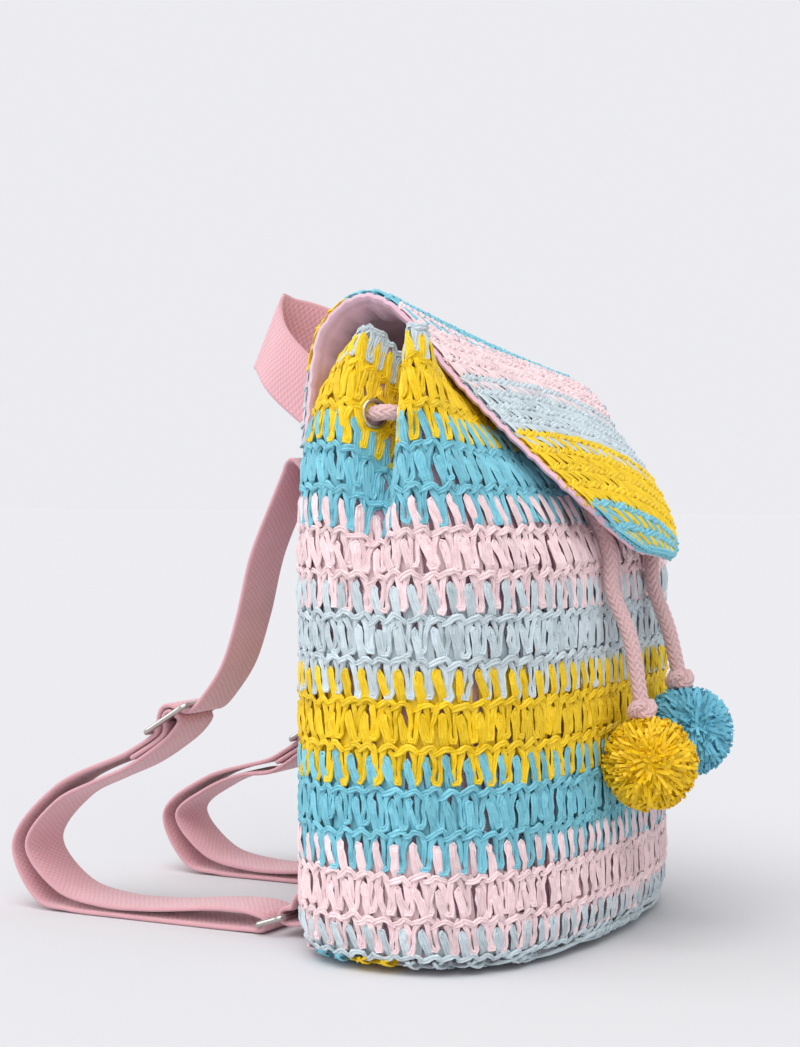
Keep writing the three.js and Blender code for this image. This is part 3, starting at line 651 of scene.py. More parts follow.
def inside_run(start, end, count):
    shares = (np.arange(count) + 1) / (count + 1)
    return list(off_wall(lerp(start, end, shares), EYELET_HEIGHT, -(INNER_INSET + 1 + CORD_TURN)))


def knot_place(name, sizes):
    up = unit(np.array(TAIL_LEAN))
    return np.array(POMPOM_PLACES[name]) + up * (sizes.pompom / MM / 2 + CLEARANCE + KNOT_DIAMETER / 2)


def tail_route(eyelet, knot):
    """A tail outside the front wall, from its eyelet down to its knot."""
    lying = off_wall(EYELET_TURNS[eyelet], np.array(TAIL_LEVELS), TAIL_LIFT)
    lying[0, 1] = lerp(knot[1], lying[1, 1], 0.4)
    lying[0, 0] = lerp(knot[0], lying[1, 0], 0.5)
    return [*through_eyelet(eyelet, CORD_TURN)[1::-1], *lying[::-1], knot]


def across_pleat(first, second):
    """The cord from inside one of a pleat's eyelets, out between its flanks and in at the other."""
    ends = [through_eyelet(name, EYELET_CROWN + CLEARANCE) for name in (first, second)]
    bow = unit(EYELET_SEATS[first][1] + EYELET_SEATS[second][1]) * CORD_BOW
    return [*ends[0][::-1], (ends[0][0] + ends[1][0]) / 2 + bow, *ends[1]]


def threaded_route():
    turns = EYELET_TURNS
    return [
        *through_eyelet("front_left", CORD_TURN)[1:],
        *inside_run(turns["front_left"] - 0.01, turns["left_front"] + 0.03, 3),
        *across_pleat("left_front", "left_back"),
        *inside_run(turns["left_back"] - 0.01, turns["right_back"] + 0.01, 9),
        *across_pleat("right_back", "right_front"),
        *inside_run(turns["right_front"] - 0.03, turns["front_right"] + 0.01, 3),
        *through_eyelet("front_right", CORD_TURN)[:0:-1],
    ]


# Materials


def add_node(tree, kind, inputs=None, **values):
    """A node with its settings, its inputs' values and the links into it."""
    node = tree.nodes.new(kind)
    for name, value in values.items():
        setattr(node, name, value)
    for key, value in (inputs or {}).items():
        if isinstance(value, bpy.types.NodeSocket):
            tree.links.new(value, node.inputs[key])
        else:
            node.inputs[key].default_value = value
    return node


# Where nearly all of a noise's values lie, as the ends of the range that they are spread from
NOISE_SPAN = {1: 0.3, 2: 0.7}


def new_material(name):
    made = bpy.data.materials.new(name)
    made.use_nodes = True
    made.node_tree.nodes.clear()
    return made, made.node_tree


def finish_material(tree, inputs):
    shader = add_node(tree, "ShaderNodeBsdfPrincipled", inputs)
    add_node(tree, "ShaderNodeOutputMaterial", {"Surface": shader.outputs[0]})


def straw_material(name, rgb, spread):
    """Paper straw: ribbon of crinkled paper folded to a tape, so it has lengthwise creases, a soft gloss
    and a tone that varies from strand to strand, by up to the spread."""
    made, tree = new_material(name)
    uv = add_node(tree, "ShaderNodeUVMap", uv_map="tape")
    # Creases 6 mm long and about 0.65 mm apart, 14 to the tape's girth of 9 mm
    place = add_node(tree, "ShaderNodeMapping", {0: uv.outputs[0], 3: (14, 1 / 6, 1)})
    crease = add_node(tree, "ShaderNodeTexNoise", {"Vector": place.outputs[0], "Scale": 1, "Detail": 2})
    # Dull and glossy patches, 5 mm long and half of the girth wide
    place = add_node(tree, "ShaderNodeMapping", {0: uv.outputs[0], 3: (2, 1 / 5, 1)})
    mottle = add_node(tree, "ShaderNodeTexNoise", {"Vector": place.outputs[0], "Scale": 1})
    tint = add_node(tree, "ShaderNodeAttribute", attribute_name="tint")
    tone = add_node(tree, "ShaderNodeMapRange", {0: tint.outputs["Fac"], 3: 1 - spread, 4: 1 + spread})
    # Painted shade in the creases' dips and painted highlight on their ridges, from the same noise as the
    # bump
    shade = add_node(tree, "ShaderNodeMapRange", {0: crease.outputs[0], **NOISE_SPAN, 3: 0.9, 4: 1.06})
    tones = {0: tone.outputs[0], 1: shade.outputs[0]}
    value = add_node(tree, "ShaderNodeMath", tones, operation="MULTIPLY")
    base = add_node(tree, "ShaderNodeHueSaturation", {"Color": (*rgb, 1), "Value": value.outputs[0]})
    gloss = add_node(tree, "ShaderNodeMapRange", {0: mottle.outputs[0], **NOISE_SPAN, 3: 0.42, 4: 0.62})
    relief = {"Height": crease.outputs[0], "Strength": 0.55, "Distance": 0.5 * MM}
    bump = add_node(tree, "ShaderNodeBump", relief)
    finish_material(
        tree, {"Base Color": base.outputs[0], "Roughness": gloss.outputs[0], "Normal": bump.outputs[0]}
    )
    return made


def cotton_material(name, rgb, threads, dip_shade_tone):
    """Cotton: matt spun threads with a faint fuzz, crossing over and under, so that the face is a grid of
    small raised dashes with dips between them, darkened by painted shade down to the dip shade tone.
    Threads are their spacing across and along."""
    made, tree = new_material(name)
    uv = add_node(tree, "ShaderNodeUVMap", uv_map="tape")
    split = add_node(tree, "ShaderNodeSeparateXYZ", {0: uv.outputs[0]})
    threaded = {}
    for axis, spacing in enumerate(threads):
        angle = {0: split.outputs[axis], 1: math.pi / spacing}
        turns = add_node(tree, "ShaderNodeMath", angle, operation="MULTIPLY")
        wave = add_node(tree, "ShaderNodeMath", {0: turns.outputs[0]}, operation="SINE")
        threaded[axis] = wave.outputs[0]
    height = add_node(tree, "ShaderNodeMath", threaded, operation="MULTIPLY")
    place = add_node(tree, "ShaderNodeNewGeometry")
    # Uneven dye in clouds of about 17 mm, and fibres too fine to show, drawn at 0.8 mm
    cloud = add_node(tree, "ShaderNodeTexNoise", {"Vector": place.outputs["Position"], "Scale": 60})
    fibre = add_node(tree, "ShaderNodeTexNoise", {"Vector": place.outputs["Position"], "Scale": 1250})
    heights = {0: height.outputs[0], 1: fibre.outputs[0]}
    rough = add_node(tree, "ShaderNodeMath", heights, operation="ADD")
    # Painted shade: the weave's dips are darkened down to the dip shade tone, and its raised dashes get a
    # faint painted highlight
    weave_shading_range = {0: height.outputs[0], 1: -1, 2: 0.6, 3: dip_shade_tone, 4: 1.04}
    weave_shading = add_node(tree, "ShaderNodeMapRange", weave_shading_range)
    dye = add_node(tree, "ShaderNodeMapRange", {0: cloud.outputs[0], **NOISE_SPAN, 3: 0.96, 4: 1.03})
    tones = {0: weave_shading.outputs[0], 1: dye.outputs[0]}
    value = add_node(tree, "ShaderNodeMath", tones, operation="MULTIPLY")
    base = add_node(tree, "ShaderNodeHueSaturation", {"Color": (*rgb, 1), "Value": value.outputs[0]})
    relief = {"Height": rough.outputs[0], "Strength": 0.5, "Distance": 0.25 * MM}
    bump = add_node(tree, "ShaderNodeBump", relief)
    look = {"Roughness": 0.8, "Sheen Weight": 0.5}
    finish_material(tree, {"Base Color": base.outputs[0], "Normal": bump.outputs[0], **look})
    return made


def cord_material(rgb):
    """Braided cotton: each strand is a bundle of fine threads along it, matt and a little fuzzy."""
    made, tree = new_material("Braided cotton cord")
    uv = add_node(tree, "ShaderNodeUVMap", uv_map="tape")
    # Threads about 0.5 mm apart, 12 round a strand, and 4 mm long before they dip
    place = add_node(tree, "ShaderNodeMapping", {0: uv.outputs[0], 3: (12, 1 / 4, 1)})
    thread = add_node(tree, "ShaderNodeTexNoise", {"Vector": place.outputs[0], "Scale": 1})
    # Painted shade where the threads dip and painted highlight where they rise, from the same noise as the
    # bump
    shade = add_node(tree, "ShaderNodeMapRange", {0: thread.outputs[0], **NOISE_SPAN, 3: 0.9, 4: 1.05})
    base = add_node(tree, "ShaderNodeHueSaturation", {"Color": (*rgb, 1), "Value": shade.outputs[0]})
    relief = {"Height": thread.outputs[0], "Strength": 0.6, "Distance": 0.3 * MM}
    bump = add_node(tree, "ShaderNodeBump", relief)
    look = {"Roughness": 0.88, "Sheen Weight": 0.3}
    finish_material(tree, {"Base Color": base.outputs[0], "Normal": bump.outputs[0], **look})
    return made


def nickel_material(rgb):
    """Nickel plate on drawn steel: a warm grey mirror, dulled by fine handling marks."""
    made, tree = new_material("Nickel plate")
    place = add_node(tree, "ShaderNodeNewGeometry")
    # Handling marks about 3 mm across
    spots = {"Vector": place.outputs["Position"], "Scale": 330, "Detail": 4}
    marks = add_node(tree, "ShaderNodeTexNoise", spots)
    gloss = add_node(tree, "ShaderNodeMapRange", {0: marks.outputs[0], **NOISE_SPAN, 3: 0.14, 4: 0.24})
    finish_material(tree, {"Base Color": (*rgb, 1), "Metallic": 1.0, "Roughness": gloss.outputs[0]})
    return made


# Stitches of the wall. Each strand is given by points: the share of a stitch across, millimetres up from
# the row's chain, millimetres out from the wall, and its width as a share of the tape's.

CHAIN = (
    [
        (-0.16, -2.0, -0.9, 0.7),
        (0.06, -1.3, 0.2, 0.85),
        (0.3, -0.2, 0.7, 0.98),
        (0.54, 1.1, 0.9, 0.95),
        (0.76, 1.1, 0.7, 0.85),
        (0.95, -0.6, 0.2, 0.75),
        (1.1, -2.0, -0.8, 0.7),
    ],
    9,
)
HANGING_LOOP = (
    [
        (-0.38, 0.6, -0.9, 0.85),
        (-0.27, -1.6, -0.2, 1.05),
        (-0.155, -5.0, -0.2, 0.92),
        (-0.145, -9.6, -0.2, 0.86),
        (-0.16, -13.2, -0.1, 0.88),
        (-0.12, -15.7, 0.4, 1.0),
        (0.12, -15.6, 0.4, 1.0),
        (0.16, -13.1, -0.1, 0.88),
        (0.145, -9.6, -0.2, 0.86),
        (0.155, -5.0, -0.2, 0.92),
        (0.27, -1.4, -0.2, 1.05),
        (0.38, 0.8, -0.9, 0.85),
    ],
    16,
)
RISING_LOOP = (
    [
        (0.7, -19.2, -0.7, 0.9),
        (0.58, -14.0, 0.7, 0.88),
        (0.46, -9.4, 1.0, 0.86),
        (0.39, -6.5, 0.8, 0.85),
        (0.42, -4.5, 0.5, 0.85),
        (0.51, -4.4, 0.5, 0.85),
        (0.55, -6.4, 0.8, 0.85),
        (0.63, -9.4, 1.0, 0.86),
        (0.75, -14.0, 0.7, 0.88),
        (0.87, -19.2, -0.7, 0.9),
    ],
    11,
)
UPPER_BACKING = ([(0.1, 1.0, -2.2, 2.3), (0.05, -4.0, -2.2, 2.3), (0.0, -8.0, -2.5, 2.1)], 3)
BACKING = ([(0.0, -5.0, -2.6, 2.3), (0.08, -12.0, -2.5, 2.5), (0.2, -20.5, -2.6, 2.4)], 4)
ROW_SHIFT = 0.2  # how far each row's stitches stand on from those above, as a share of a stitch
# Rows below the rim's. The rim's chain lies so far below the mouth, the others' so far below the solids'
# ridges, and the last one so far above its own place, to clear the base.
LOWER_ROWS = 15
RIM_DROP = 1.2
CHAIN_DROP = 3.6
FOOT_RISE = 2.2
# How far hand work strays, across as a share of a stitch and up and out in millimetres, at each point of a
# strand and for a strand as a whole, and how much it leans for each millimetre from its middle
POINT_STRAY = (0.035, 0.4, 0.25)
STRAND_STRAY = (0.06, 0.6, 0.15)
LEAN_STRAY = 0.008
STRAND_MIDDLE = -7.0
EYELET_ROOM = EYELET_BORE / 2 + 2.2  # how near the middle of a strand comes to the middle of an eyelet


def wall_rows():
    """Each row's chain level, the drop to the next one, and its stripe."""
    levels = [BODY_HEIGHT - RIM_DROP, *(TOP_ROW - CHAIN_DROP - ROW_HEIGHT * np.arange(LOWER_ROWS))]
    levels[-1] += FOOT_RISE
    stripes = [0, *(1 + np.arange(LOWER_ROWS) // 2)]
    drops = [*(np.array(levels[:-1]) - np.array(levels[1:])), ROW_HEIGHT]
    return list(zip(levels, drops, stripes))


def part_at_eyelets(paths, level_ways):
    """Moves strands aside where an eyelet is pressed between them, each strand to one side of it."""
    for point, out, depth in EYELET_SEATS.values():
        flat, up = beside_eyelet(out)
        way, other = (up, flat) if level_ways else (flat, up)
        apart = paths - point
        aside = apart @ way
        chord = np.sqrt(np.clip(EYELET_ROOM**2 - (apart @ other) ** 2, 0, None))
        chord = chord * (np.abs(apart @ out) < depth + 4) * (np.abs(aside) < 2 * EYELET_ROOM)
        middle = (aside * chord).sum(axis=1, keepdims=True)
        to = np.where(middle < 0, -1.0, 1.0)
        moved = to * np.hypot(np.maximum(to * aside, 0), chord)
        paths = paths + ((moved - aside) * (chord > 0))[..., None] * way
    return paths


def add_wall_strands(skin, sizes, rng, shape, row, level, drop):
    """One strand of a kind for each stitch of a row."""
    controls, samples = shape
    controls = np.array(controls)
    count = sizes.stitches
    waver = rng.normal(size=(count, len(controls), 3)) * POINT_STRAY
    drift = rng.normal(size=(count, 1, 3)) * STRAND_STRAY
    slant = rng.normal(size=(count, 1)) * LEAN_STRAY
    waver[..., 0] += slant * (controls[None, :, 1] - STRAND_MIDDLE)
    weights = spline_weights(len(controls), samples)
    local = np.einsum("sc,ncv->nsv", weights, controls[None, :, :3] + waver + drift)
    shares = (np.arange(count)[:, None] + row * ROW_SHIFT + local[..., 0]) / count
    turns = even_turns(shares, level - drop / 2)
    levels = level + local[..., 1] * drop / ROW_HEIGHT
    depth = sizes.tape_depth / MM
    outs = wall_normal(turns, levels)
    lifts = local[..., 2] - depth / 2
    lifts = np.where(lifts < 0, lifts * wall_room(turns, levels, outs), lifts)
    paths = part_at_eyelets(wall_point(turns, levels) + outs * lifts[..., None], shape is CHAIN)
    widths = sizes.tape / MM * (weights @ controls[:, 3]) * rng.uniform(0.86, 1.14, (count, 1))
    section = oval_section(4, 0.75) if samples < 6 else CREASED_SECTION
    skin.tapes(paths, outs, widths, depth, section, rng.uniform(0, 1, count), crumple=rng)


class STRAWBAG_OT_wall(bpy.types.Operator):
    """Crochet the striped wall, stitch by stitch"""

    bl_idname = "straw_bag.wall"
    bl_label = "Wall"

    def execute(self, context):
        sizes, colours = settings(context)
        rng = np.random.default_rng(11)
        skins = [Skin(smooth=False) for _ in WALL_STRIPES]
        rows = wall_rows()
        for row, (level, drop, stripe) in enumerate(rows):
            add_wall_strands(skins[stripe], sizes, rng, CHAIN, row, level, drop)
            if row + 1 == len(rows):
                break
            add_wall_strands(skins[stripe], sizes, rng, HANGING_LOOP, row, level, drop)
            add_wall_strands(skins[stripe], sizes, rng, UPPER_BACKING, row, level, drop)
            below = rows[row + 1][2]
            add_wall_strands(skins[below], sizes, rng, RISING_LOOP, row, level, drop)
            add_wall_strands(skins[below], sizes, rng, BACKING, row, level, drop)
        for index, (skin, stripe) in enumerate(zip(skins, WALL_STRIPES)):
            material = straw(stripe, colours)
            skin.piece(f"wall_stripe_{index + 1}_{stripe}", material, "striped_straw", ["crochet_body"])
        return {"FINISHED"}


def straw(name, colours):
    """The straw material of a stripe, made once."""
    label = f"Paper straw {name}"
    return bpy.data.materials.get(label) or straw_material(label, getattr(colours, name), STRAW_SPREAD)


# Stitches of the flap and base: long slanted strands between rows of small knots. Points are the share
# of a stitch across, the share of a row along, millimetres out, and the width as a share of the tape's.

SLANTED_STRAND = (
    [
        (-0.5, -0.1, -1.4, 0.8),
        (-0.2, 0.18, 0.0, 1.15),
        (0.2, 0.5, 0.2, 1.2),
        (0.6, 0.82, 0.0, 1.15),
        (0.9, 1.1, -1.4, 0.8),
    ],
    7,
)
KNOT_BUMP = (
    [(-0.6, 0.14, -1.3, 0.9), (-0.2, 0.04, 0.9, 1.35), (0.2, -0.04, 0.9, 1.35), (0.6, -0.14, -1.3, 0.9)],
    6,
)


SHEET_STRAY = (0.08, 0.03, 0.15)  # how far each point of a strand strays, in the same units
SHEET_TAPE = 0.95  # width of the tape here, as a share of the wall's
BACKING_WIDTH = 6.82
BACKING_DEPTH = 1.6


def add_sheet_strands(skin, sizes, rng, shape, count, place, row, step, first=0, every=1):
    """One strand of a kind for each stitch of a row on the flap or base, or for every second one.
    Place gives points and ways out."""
    controls, samples = shape
    controls = np.array(controls)
    waver = rng.normal(size=(count, len(controls), 3)) * SHEET_STRAY
    weights = spline_weights(len(controls), samples)
    local = np.einsum("sc,ncv->nsv", weights, controls[None, :, :3] + waver)
    across = (np.arange(count)[:, None] + 0.5 + local[..., 0]) / count
    along = (row + local[..., 1]) * step
    depth = sizes.tape_depth / MM
    paths, outs = place(np.clip(across, 0, 1), along, local[..., 2] - depth / 2)
    widths = sizes.tape / MM * SHEET_TAPE * (weights @ controls[:, 3])
    widths = widths * rng.uniform(0.85, 1.15, (count, 1))
    tints = rng.uniform(0, 1, count)
    some = slice(first, None, every)
    skin.tapes(paths[some], outs[some], widths[some], depth, CREASED_SECTION, tints[some], crumple=rng)


def on_flap(across, along, lift):
    """Points off the flap's face and ways out, where along counts the rows of its slanting stripes."""
    across, along, lift = np.broadcast_arrays(across, along, lift)
    rows = np.append(np.arange(len(FLAP_STRIPES)) * FLAP_STRIPE_ROWS, FLAP_ROWS) / FLAP_ROWS
    left = np.interp(along, rows, FLAP_STRIPES_LEFT)
    right = np.interp(along, rows, FLAP_STRIPES_RIGHT)
    slanted = lerp(left, right, np.clip(across, 0, 1))
    return flap_place(0.5 + (across - 0.5) * flap_narrow(slanted), slanted, lift)


class STRAWBAG_OT_flap(bpy.types.Operator):
    """Crochet the striped flap and its edging"""

    bl_idname = "straw_bag.flap"
    bl_label = "Flap"

    def execute(self, context):
        sizes, colours = settings(context)
        rng = np.random.default_rng(23)
        step = 1 / FLAP_ROWS
        skins = [Skin(smooth=False) for _ in FLAP_STRIPES]
        for row in range(FLAP_ROWS):
            along = (row + 0.5) * step
            ends = flap_sheet(np.array([0.0, 1.0]), np.full(2, along))
            width = np.linalg.norm(ends[1] - ends[0]) * flap_narrow(along)
            count = max(4, round(width / (sizes.flap_pitch / MM)))
            stripe = row // FLAP_STRIPE_ROWS
            skin = skins[stripe]
            if row % FLAP_STRIPE_ROWS == 0 and row > 0 or row == FLAP_ROWS - 1:
                # Where two colours meet, every second strand is still the last stripe's
                for first, half in enumerate((skins[stripe - 1], skin)):
                    add_sheet_strands(half, sizes, rng, SLANTED_STRAND, count, on_flap, row, step, first, 2)
            else:
                add_sheet_strands(skin, sizes, rng, SLANTED_STRAND, count, on_flap, row, step)
            add_sheet_strands(skin, sizes, rng, KNOT_BUMP, count, on_flap, row, step)
            self.add_backing(skin, rng, row, step)
            self.add_turns(skin, sizes, rng, row, step)
        self.add_edging(skins[-1], sizes, rng)
        for index, (skin, stripe) in enumerate(zip(skins, FLAP_STRIPES)):
            material = straw(stripe, colours)
            skin.piece(f"flap_stripe_{index + 1}_{stripe}", material, "striped_straw", ["flap_panel"])
        return {"FINISHED"}

    def add_backing(self, skin, rng, row, step):
        """Two broad bands behind a row's stitches, from edge to edge of the flap."""
        across = np.linspace(0, 1, 25)
        for share, lift in ((0.25, -2.6), (0.75, -3.0)):
            path, outs = on_flap(across, (row + share) * step, lift)
            skin.tape(path, outs, BACKING_WIDTH, BACKING_DEPTH, oval_section(6, 0.75), crumple=rng)

    def add_turns(self, skin, sizes, rng, row, step):
        """The tape's turns at a row's two ends."""
        along = (row + np.linspace(-0.15, 1.15, 6)) * step
        lift = np.array([-1.6, -0.6, -0.3, -0.3, -0.6, -1.6]) - 0.5
        for across in (0.006, 0.03, 0.97, 0.994):
            path, outs = on_flap(across, along, lift + rng.uniform(-0.3, 0.3))
            width = sizes.tape / MM * rng.uniform(1, 1.25)
            tint = rng.uniform(0, 1, 1)
            skin.tape(path, outs, width, sizes.tape_depth / MM, CREASED_SECTION, tints=tint, crumple=rng)

    def add_edging(self, skin, sizes, rng):
        """Two tapes laid along the flap's edge, round its tip."""
        side = np.linspace(0.962, 1, 30)
        along = np.concatenate([side, np.ones(18), side[::-1]])
        across = np.concatenate([np.zeros(30), np.linspace(0, 1, 20)[1:-1], np.ones(30)])
        inward = 0.5 + (across - 0.5) * 0.965
        shares = np.linspace(0, 1, 110)
        ripple = np.arange(110) * 1.3
        for inset, lift in ((inward, -0.5), (across, -2.2)):
            rim, outs = on_flap(inset, along, lift)
            outs = points_at(outs, shares)
            path = points_at(rim, shares) + unit(outs) * 0.35 * np.sin(ripple + lift)[:, None]
            facing = unit(outs - (0, 0, 0.4))
            width = sizes.tape / MM * (1 + 0.12 * np.sin(ripple))
            skin.tape(path, facing, width, sizes.tape_depth / MM, CREASED_SECTION, crumple=rng)


class STRAWBAG_OT_base(bpy.types.Operator):
    """Crochet the striped oval base"""

    bl_idname = "straw_bag.base"
    bl_label = "Base"

    def execute(self, context):
        sizes, colours = settings(context)
        rng = np.random.default_rng(31)
        inset = 3.6  # from the wall's widest
        pitch = 7.5  # of its stitches
        sole = 2.0  # height of its face
        curl = 2.8  # rise of its edge
        half = BODY_DEPTH / 2 - inset
        stripes = [*["pale"] * 5, *["yellow"] * 2, *["turquoise"] * 2, *["pink"] * 2]
        rows = len(stripes)
        skins = {stripe: Skin(smooth=False) for stripe in stripes}

        def on_base(across, along, lift):
            y = half * (2 * along - 1)
            reach = np.clip(1 - np.abs(y / half) ** CORNER_POWER, 0.02, 1) ** (1 / CORNER_POWER)
            x = (BODY_WIDTH / 2 - inset) * reach * (2 * across - 1)
            outs = np.broadcast_to((0.0, 0.0, -1.0), (*x.shape, 3))
            edge = np.maximum(np.abs(y / half), np.abs(2 * across - 1)) ** 8
            return np.stack([x, y, sole - lift + curl * edge], axis=-1), outs

        for row, stripe in enumerate(stripes):
            skin = skins[stripe]
            end, _ = on_base(np.array(1.0), np.array((row + 0.5) / rows), np.array(0.0))
            count = max(6, round(2 * end[0] / pitch))
            for shape in (SLANTED_STRAND, KNOT_BUMP):
                add_sheet_strands(skin, sizes, rng, shape, count, on_base, row, 1 / rows)
        for stripe, skin in skins.items():
            skin.piece(f"base_{stripe}", straw(stripe, colours), "striped_straw", ["base_panel"])
        return {"FINISHED"}


# Linings


def thicken(made, thickness):
    """Gives a sheet its thickness, half to each side."""
    solid = made.modifiers.new("Cloth thickness", "SOLIDIFY")
    solid.thickness = thickness * MM
    solid.offset = 0


class STRAWBAG_OT_linings(bpy.types.Operator):
    """Sew the cotton linings of the bag and flap"""

    bl_idname = "straw_bag.linings"
    bl_label = "Linings"

    def execute(self, context):
        _, colours = settings(context)
        # The last number is the tone of the painted shade in the weave's dips
        cotton = cotton_material("Plain-woven cotton lining", colours.lining, (0.9, 0.9), 0.9)
        self.add_bag_lining(cotton)
        self.add_flap_lining(cotton)
        return {"FINISHED"}

    def add_bag_lining(self, cotton):
        """The bag inside the wall with its floor, in small puckers where the mouth is gathered."""
        turns = np.arange(112) / 112
        foot = np.linspace(8, FOOT_HEIGHT, 5)
        levels = np.concatenate([foot, np.linspace(32, BODY_HEIGHT - LINING_DROP, 36)])[:, None]
        wall = wall_point(turns, levels, INNER_INSET - LINING_THICKNESS / 2)
        pucker = 0.5 * waves(41 * turns) * smoothstep(levels, 150, 260)
        wall = wall + wall_normal(turns, levels) * pucker[..., None]
        shares = np.linspace(0.03, 1, 12)[:-1, None, None]
        floor = wall[:1] * shares
        floor[..., 2] = wall[0, :, 2].mean()
        skin = Skin()
        skin.grid(np.concatenate([floor, wall]), wrapped=True)
        made = skin.piece("bag_lining", cotton, "cotton_lining", ["body_lining"])
        thicken(made, LINING_THICKNESS)

    def add_flap_lining(self, cotton):
        """The cloth under the flap, turned up a little at its edges in small puckers between its seam's
        stitches, and hanging slack in soft wrinkles over the mouth's left side."""
        along = np.linspace(0, 1, 100)[:, None]
        rim = np.array([-0.012, -0.011, -0.008, -0.002, 0.006, 0.018])
        across = np.array([*rim, *np.linspace(0.03, 0.97, 40), *(1 - rim[::-1])])
        pucker = 0.5 + 0.3 * waves(27 * along) + 0.2 * waves(43 * along)
        to_edge = np.abs(across - 0.5)
        turned = smoothstep(to_edge, 0.47, 0.502) * pucker + 1.9 * smoothstep(to_edge, 0.5, 0.512)
        slack = smoothstep(along, 0.06, 0.2) * (1 - smoothstep(along, 0.4, 0.47))
        wrinkle = 1 + 0.3 * waves(13 * along + 3 * across) + 0.15 * waves(31 * along)
        sag = 4.0 * slack * wrinkle * np.exp(-(((across - 0.1) / 0.07) ** 2))
        points, _ = on_flap(across, along, turned - sag - FLAP_THICKNESS - FLAP_LINING / 2)
        skin = Skin()
        skin.grid(points)
        made = skin.piece("flap_lining_cloth", cotton, "cotton_lining", ["flap_lining"])
        thicken(made, 1.5 * FLAP_LINING)


# Webbing


END_BAR = (SLIDER_LENGTH - BAR_WIDTH) / 2
UNDER_BAR = SLIDER_THICKNESS / 2 + CLEARANCE + WEBBING_HALF
ROUND_BAR = math.hypot(BAR_WIDTH, SLIDER_THICKNESS) / 2 + CLEARANCE + WEBBING_HALF
OVER_WRAP = ROUND_BAR + WEBBING_THICKNESS + 2 * CLEARANCE
HEM_DEPTH = UNDER_BAR + WEBBING_THICKNESS + 2 * CLEARANCE
PLY_DEPTH = HEM_DEPTH + WEBBING_THICKNESS + CLEARANCE
RING_TURN = RING_THICKNESS * math.sqrt(0.5) + CLEARANCE + WEBBING_HALF


def around_bar(away, height, start, end):
    angles = np.radians(np.linspace(start, end, 9))
    return [(away + RING_TURN * math.cos(a), height + RING_TURN * math.sin(a)) for a in angles]


def ring_place(x):
    """How far back the ring's inner and outer bars lie."""
    wall = wall_point(back_turn(x, FOOT_HEIGHT), FOOT_HEIGHT)[1]
    inner = wall + RING_GAP
    return inner, inner + math.sqrt(RING_BARS**2 - (RING_HEIGHT - RING_STRAP_HEIGHT) ** 2)


def sewn_station(x, level):
    """A band's place where it is sewn to the wall, and its width's direction there."""
    turn = back_turn(x, level)
    out = wall_normal(turn, level)
    across = unit(np.array([out[1], -out[0], 0]))
    return wall_point(turn, level) + out * (SEWN_GAP + WEBBING_HALF), across


def band_stations(x, sewn, route):
    level = np.array([1.0, 0, 0])
    return [*sewn, *((np.array([x, y, z]), level) for y, z in route)]


def strap_stations(x, lie):
    away, height, reach = lie
    _, outer = ring_place(x)
    floor = WEBBING_HALF + CLEARANCE
    stacked = floor + WEBBING_THICKNESS + 2 * CLEARANCE
    end = BACK_FACE + reach

    def on_slider(along, above):
        """How far back and how high a point is that lies along the slider and above it."""
        return (
            BACK_FACE + away + along * math.cos(SLIDER_TILT) - above * math.sin(SLIDER_TILT),
            height + along * math.sin(SLIDER_TILT) + above * math.cos(SLIDER_TILT),
        )

    sewn = [sewn_station(x, 206), sewn_station(x, 229)]
    top = sewn[1][0]
    back = BACK_FACE
    route = [
        (top[1] + 1.2, top[2] + 5),
        (top[1] + 4.5, top[2] + 7),
        (top[1] + 7.5, top[2] + 5),
        (top[1] + 9, top[2] + 1),
        (back + 14, top[2] - 16),
        (back + 25, top[2] - 41),
        (back + 33, lerp(height, top[2], 0.42)),
        (back + 42, lerp(height, top[2], 0.22)),
        on_slider(-22, -1),
        on_slider(-END_BAR - 1, -UNDER_BAR),
        on_slider(-END_BAR + 2.2, -UNDER_BAR + 0.2),
        on_slider(-7.5, 0.8),
        on_slider(-4.5, OVER_WRAP - 2),
        on_slider(0, OVER_WRAP),
        on_slider(4.5, OVER_WRAP - 2),
        on_slider(7.5, 0.8),
        on_slider(END_BAR - 2.2, -UNDER_BAR + 0.2),
        on_slider(END_BAR + 1, -UNDER_BAR),
        on_slider(23, -UNDER_BAR),
        on_slider(34, 0.6 - UNDER_BAR),
        (end - 27.5, height * 0.625),
        (end, 33),
        (end - 15.5, 5.5),
        (end - 34.5, floor + 0.5),
        (end - 66.5, floor),
        (outer + 16, floor),
        (outer + 6, RING_STRAP_HEIGHT - RING_TURN),
        *around_bar(outer, RING_STRAP_HEIGHT, 270, 90),
        (outer + 7, RING_STRAP_HEIGHT + RING_TURN + 1.5),
        (outer + 25, stacked + 6),
        (end - 83.5, stacked + 1.8),
        (end - 54.5, stacked + 1.5),
        (end - 27.5, 12),
        (end - 8.5, 33),
        (end - 27.5, height * 0.55),
        (end - 50.5, height * 0.66),
        on_slider(36, -PLY_DEPTH),
        on_slider(14, -PLY_DEPTH),
        on_slider(3, -PLY_DEPTH + 1.4),
        on_slider(-ROUND_BAR - 1, -ROUND_BAR),
        on_slider(-ROUND_BAR, 0),
        on_slider(-ROUND_BAR * 0.71, ROUND_BAR * 0.71),
        on_slider(0, ROUND_BAR),
        on_slider(ROUND_BAR * 0.71, ROUND_BAR * 0.71),
        on_slider(ROUND_BAR, -0.6),
        on_slider(6.4, -4.4),
        on_slider(11.5, -HEM_DEPTH),
        on_slider(31, -HEM_DEPTH),
    ]
    return band_stations(x, sewn, route)


def tab_stations(x):
    inner, _ = ring_place(x)
    sewn = [sewn_station(x, 36), sewn_station(x, FOOT_HEIGHT)]
    route = [
        (sewn[1][0][1] + 3, RING_HEIGHT + RING_TURN + 4),
        (inner - 3, RING_HEIGHT + RING_TURN + 0.4),
        *around_bar(inner, RING_HEIGHT, 90, -90),
        (inner - 3, RING_HEIGHT - RING_TURN - 0.3),
    ]
    return [*band_stations(x, sewn, route), sewn_station(x, RING_HEIGHT - RING_TURN / 2)]


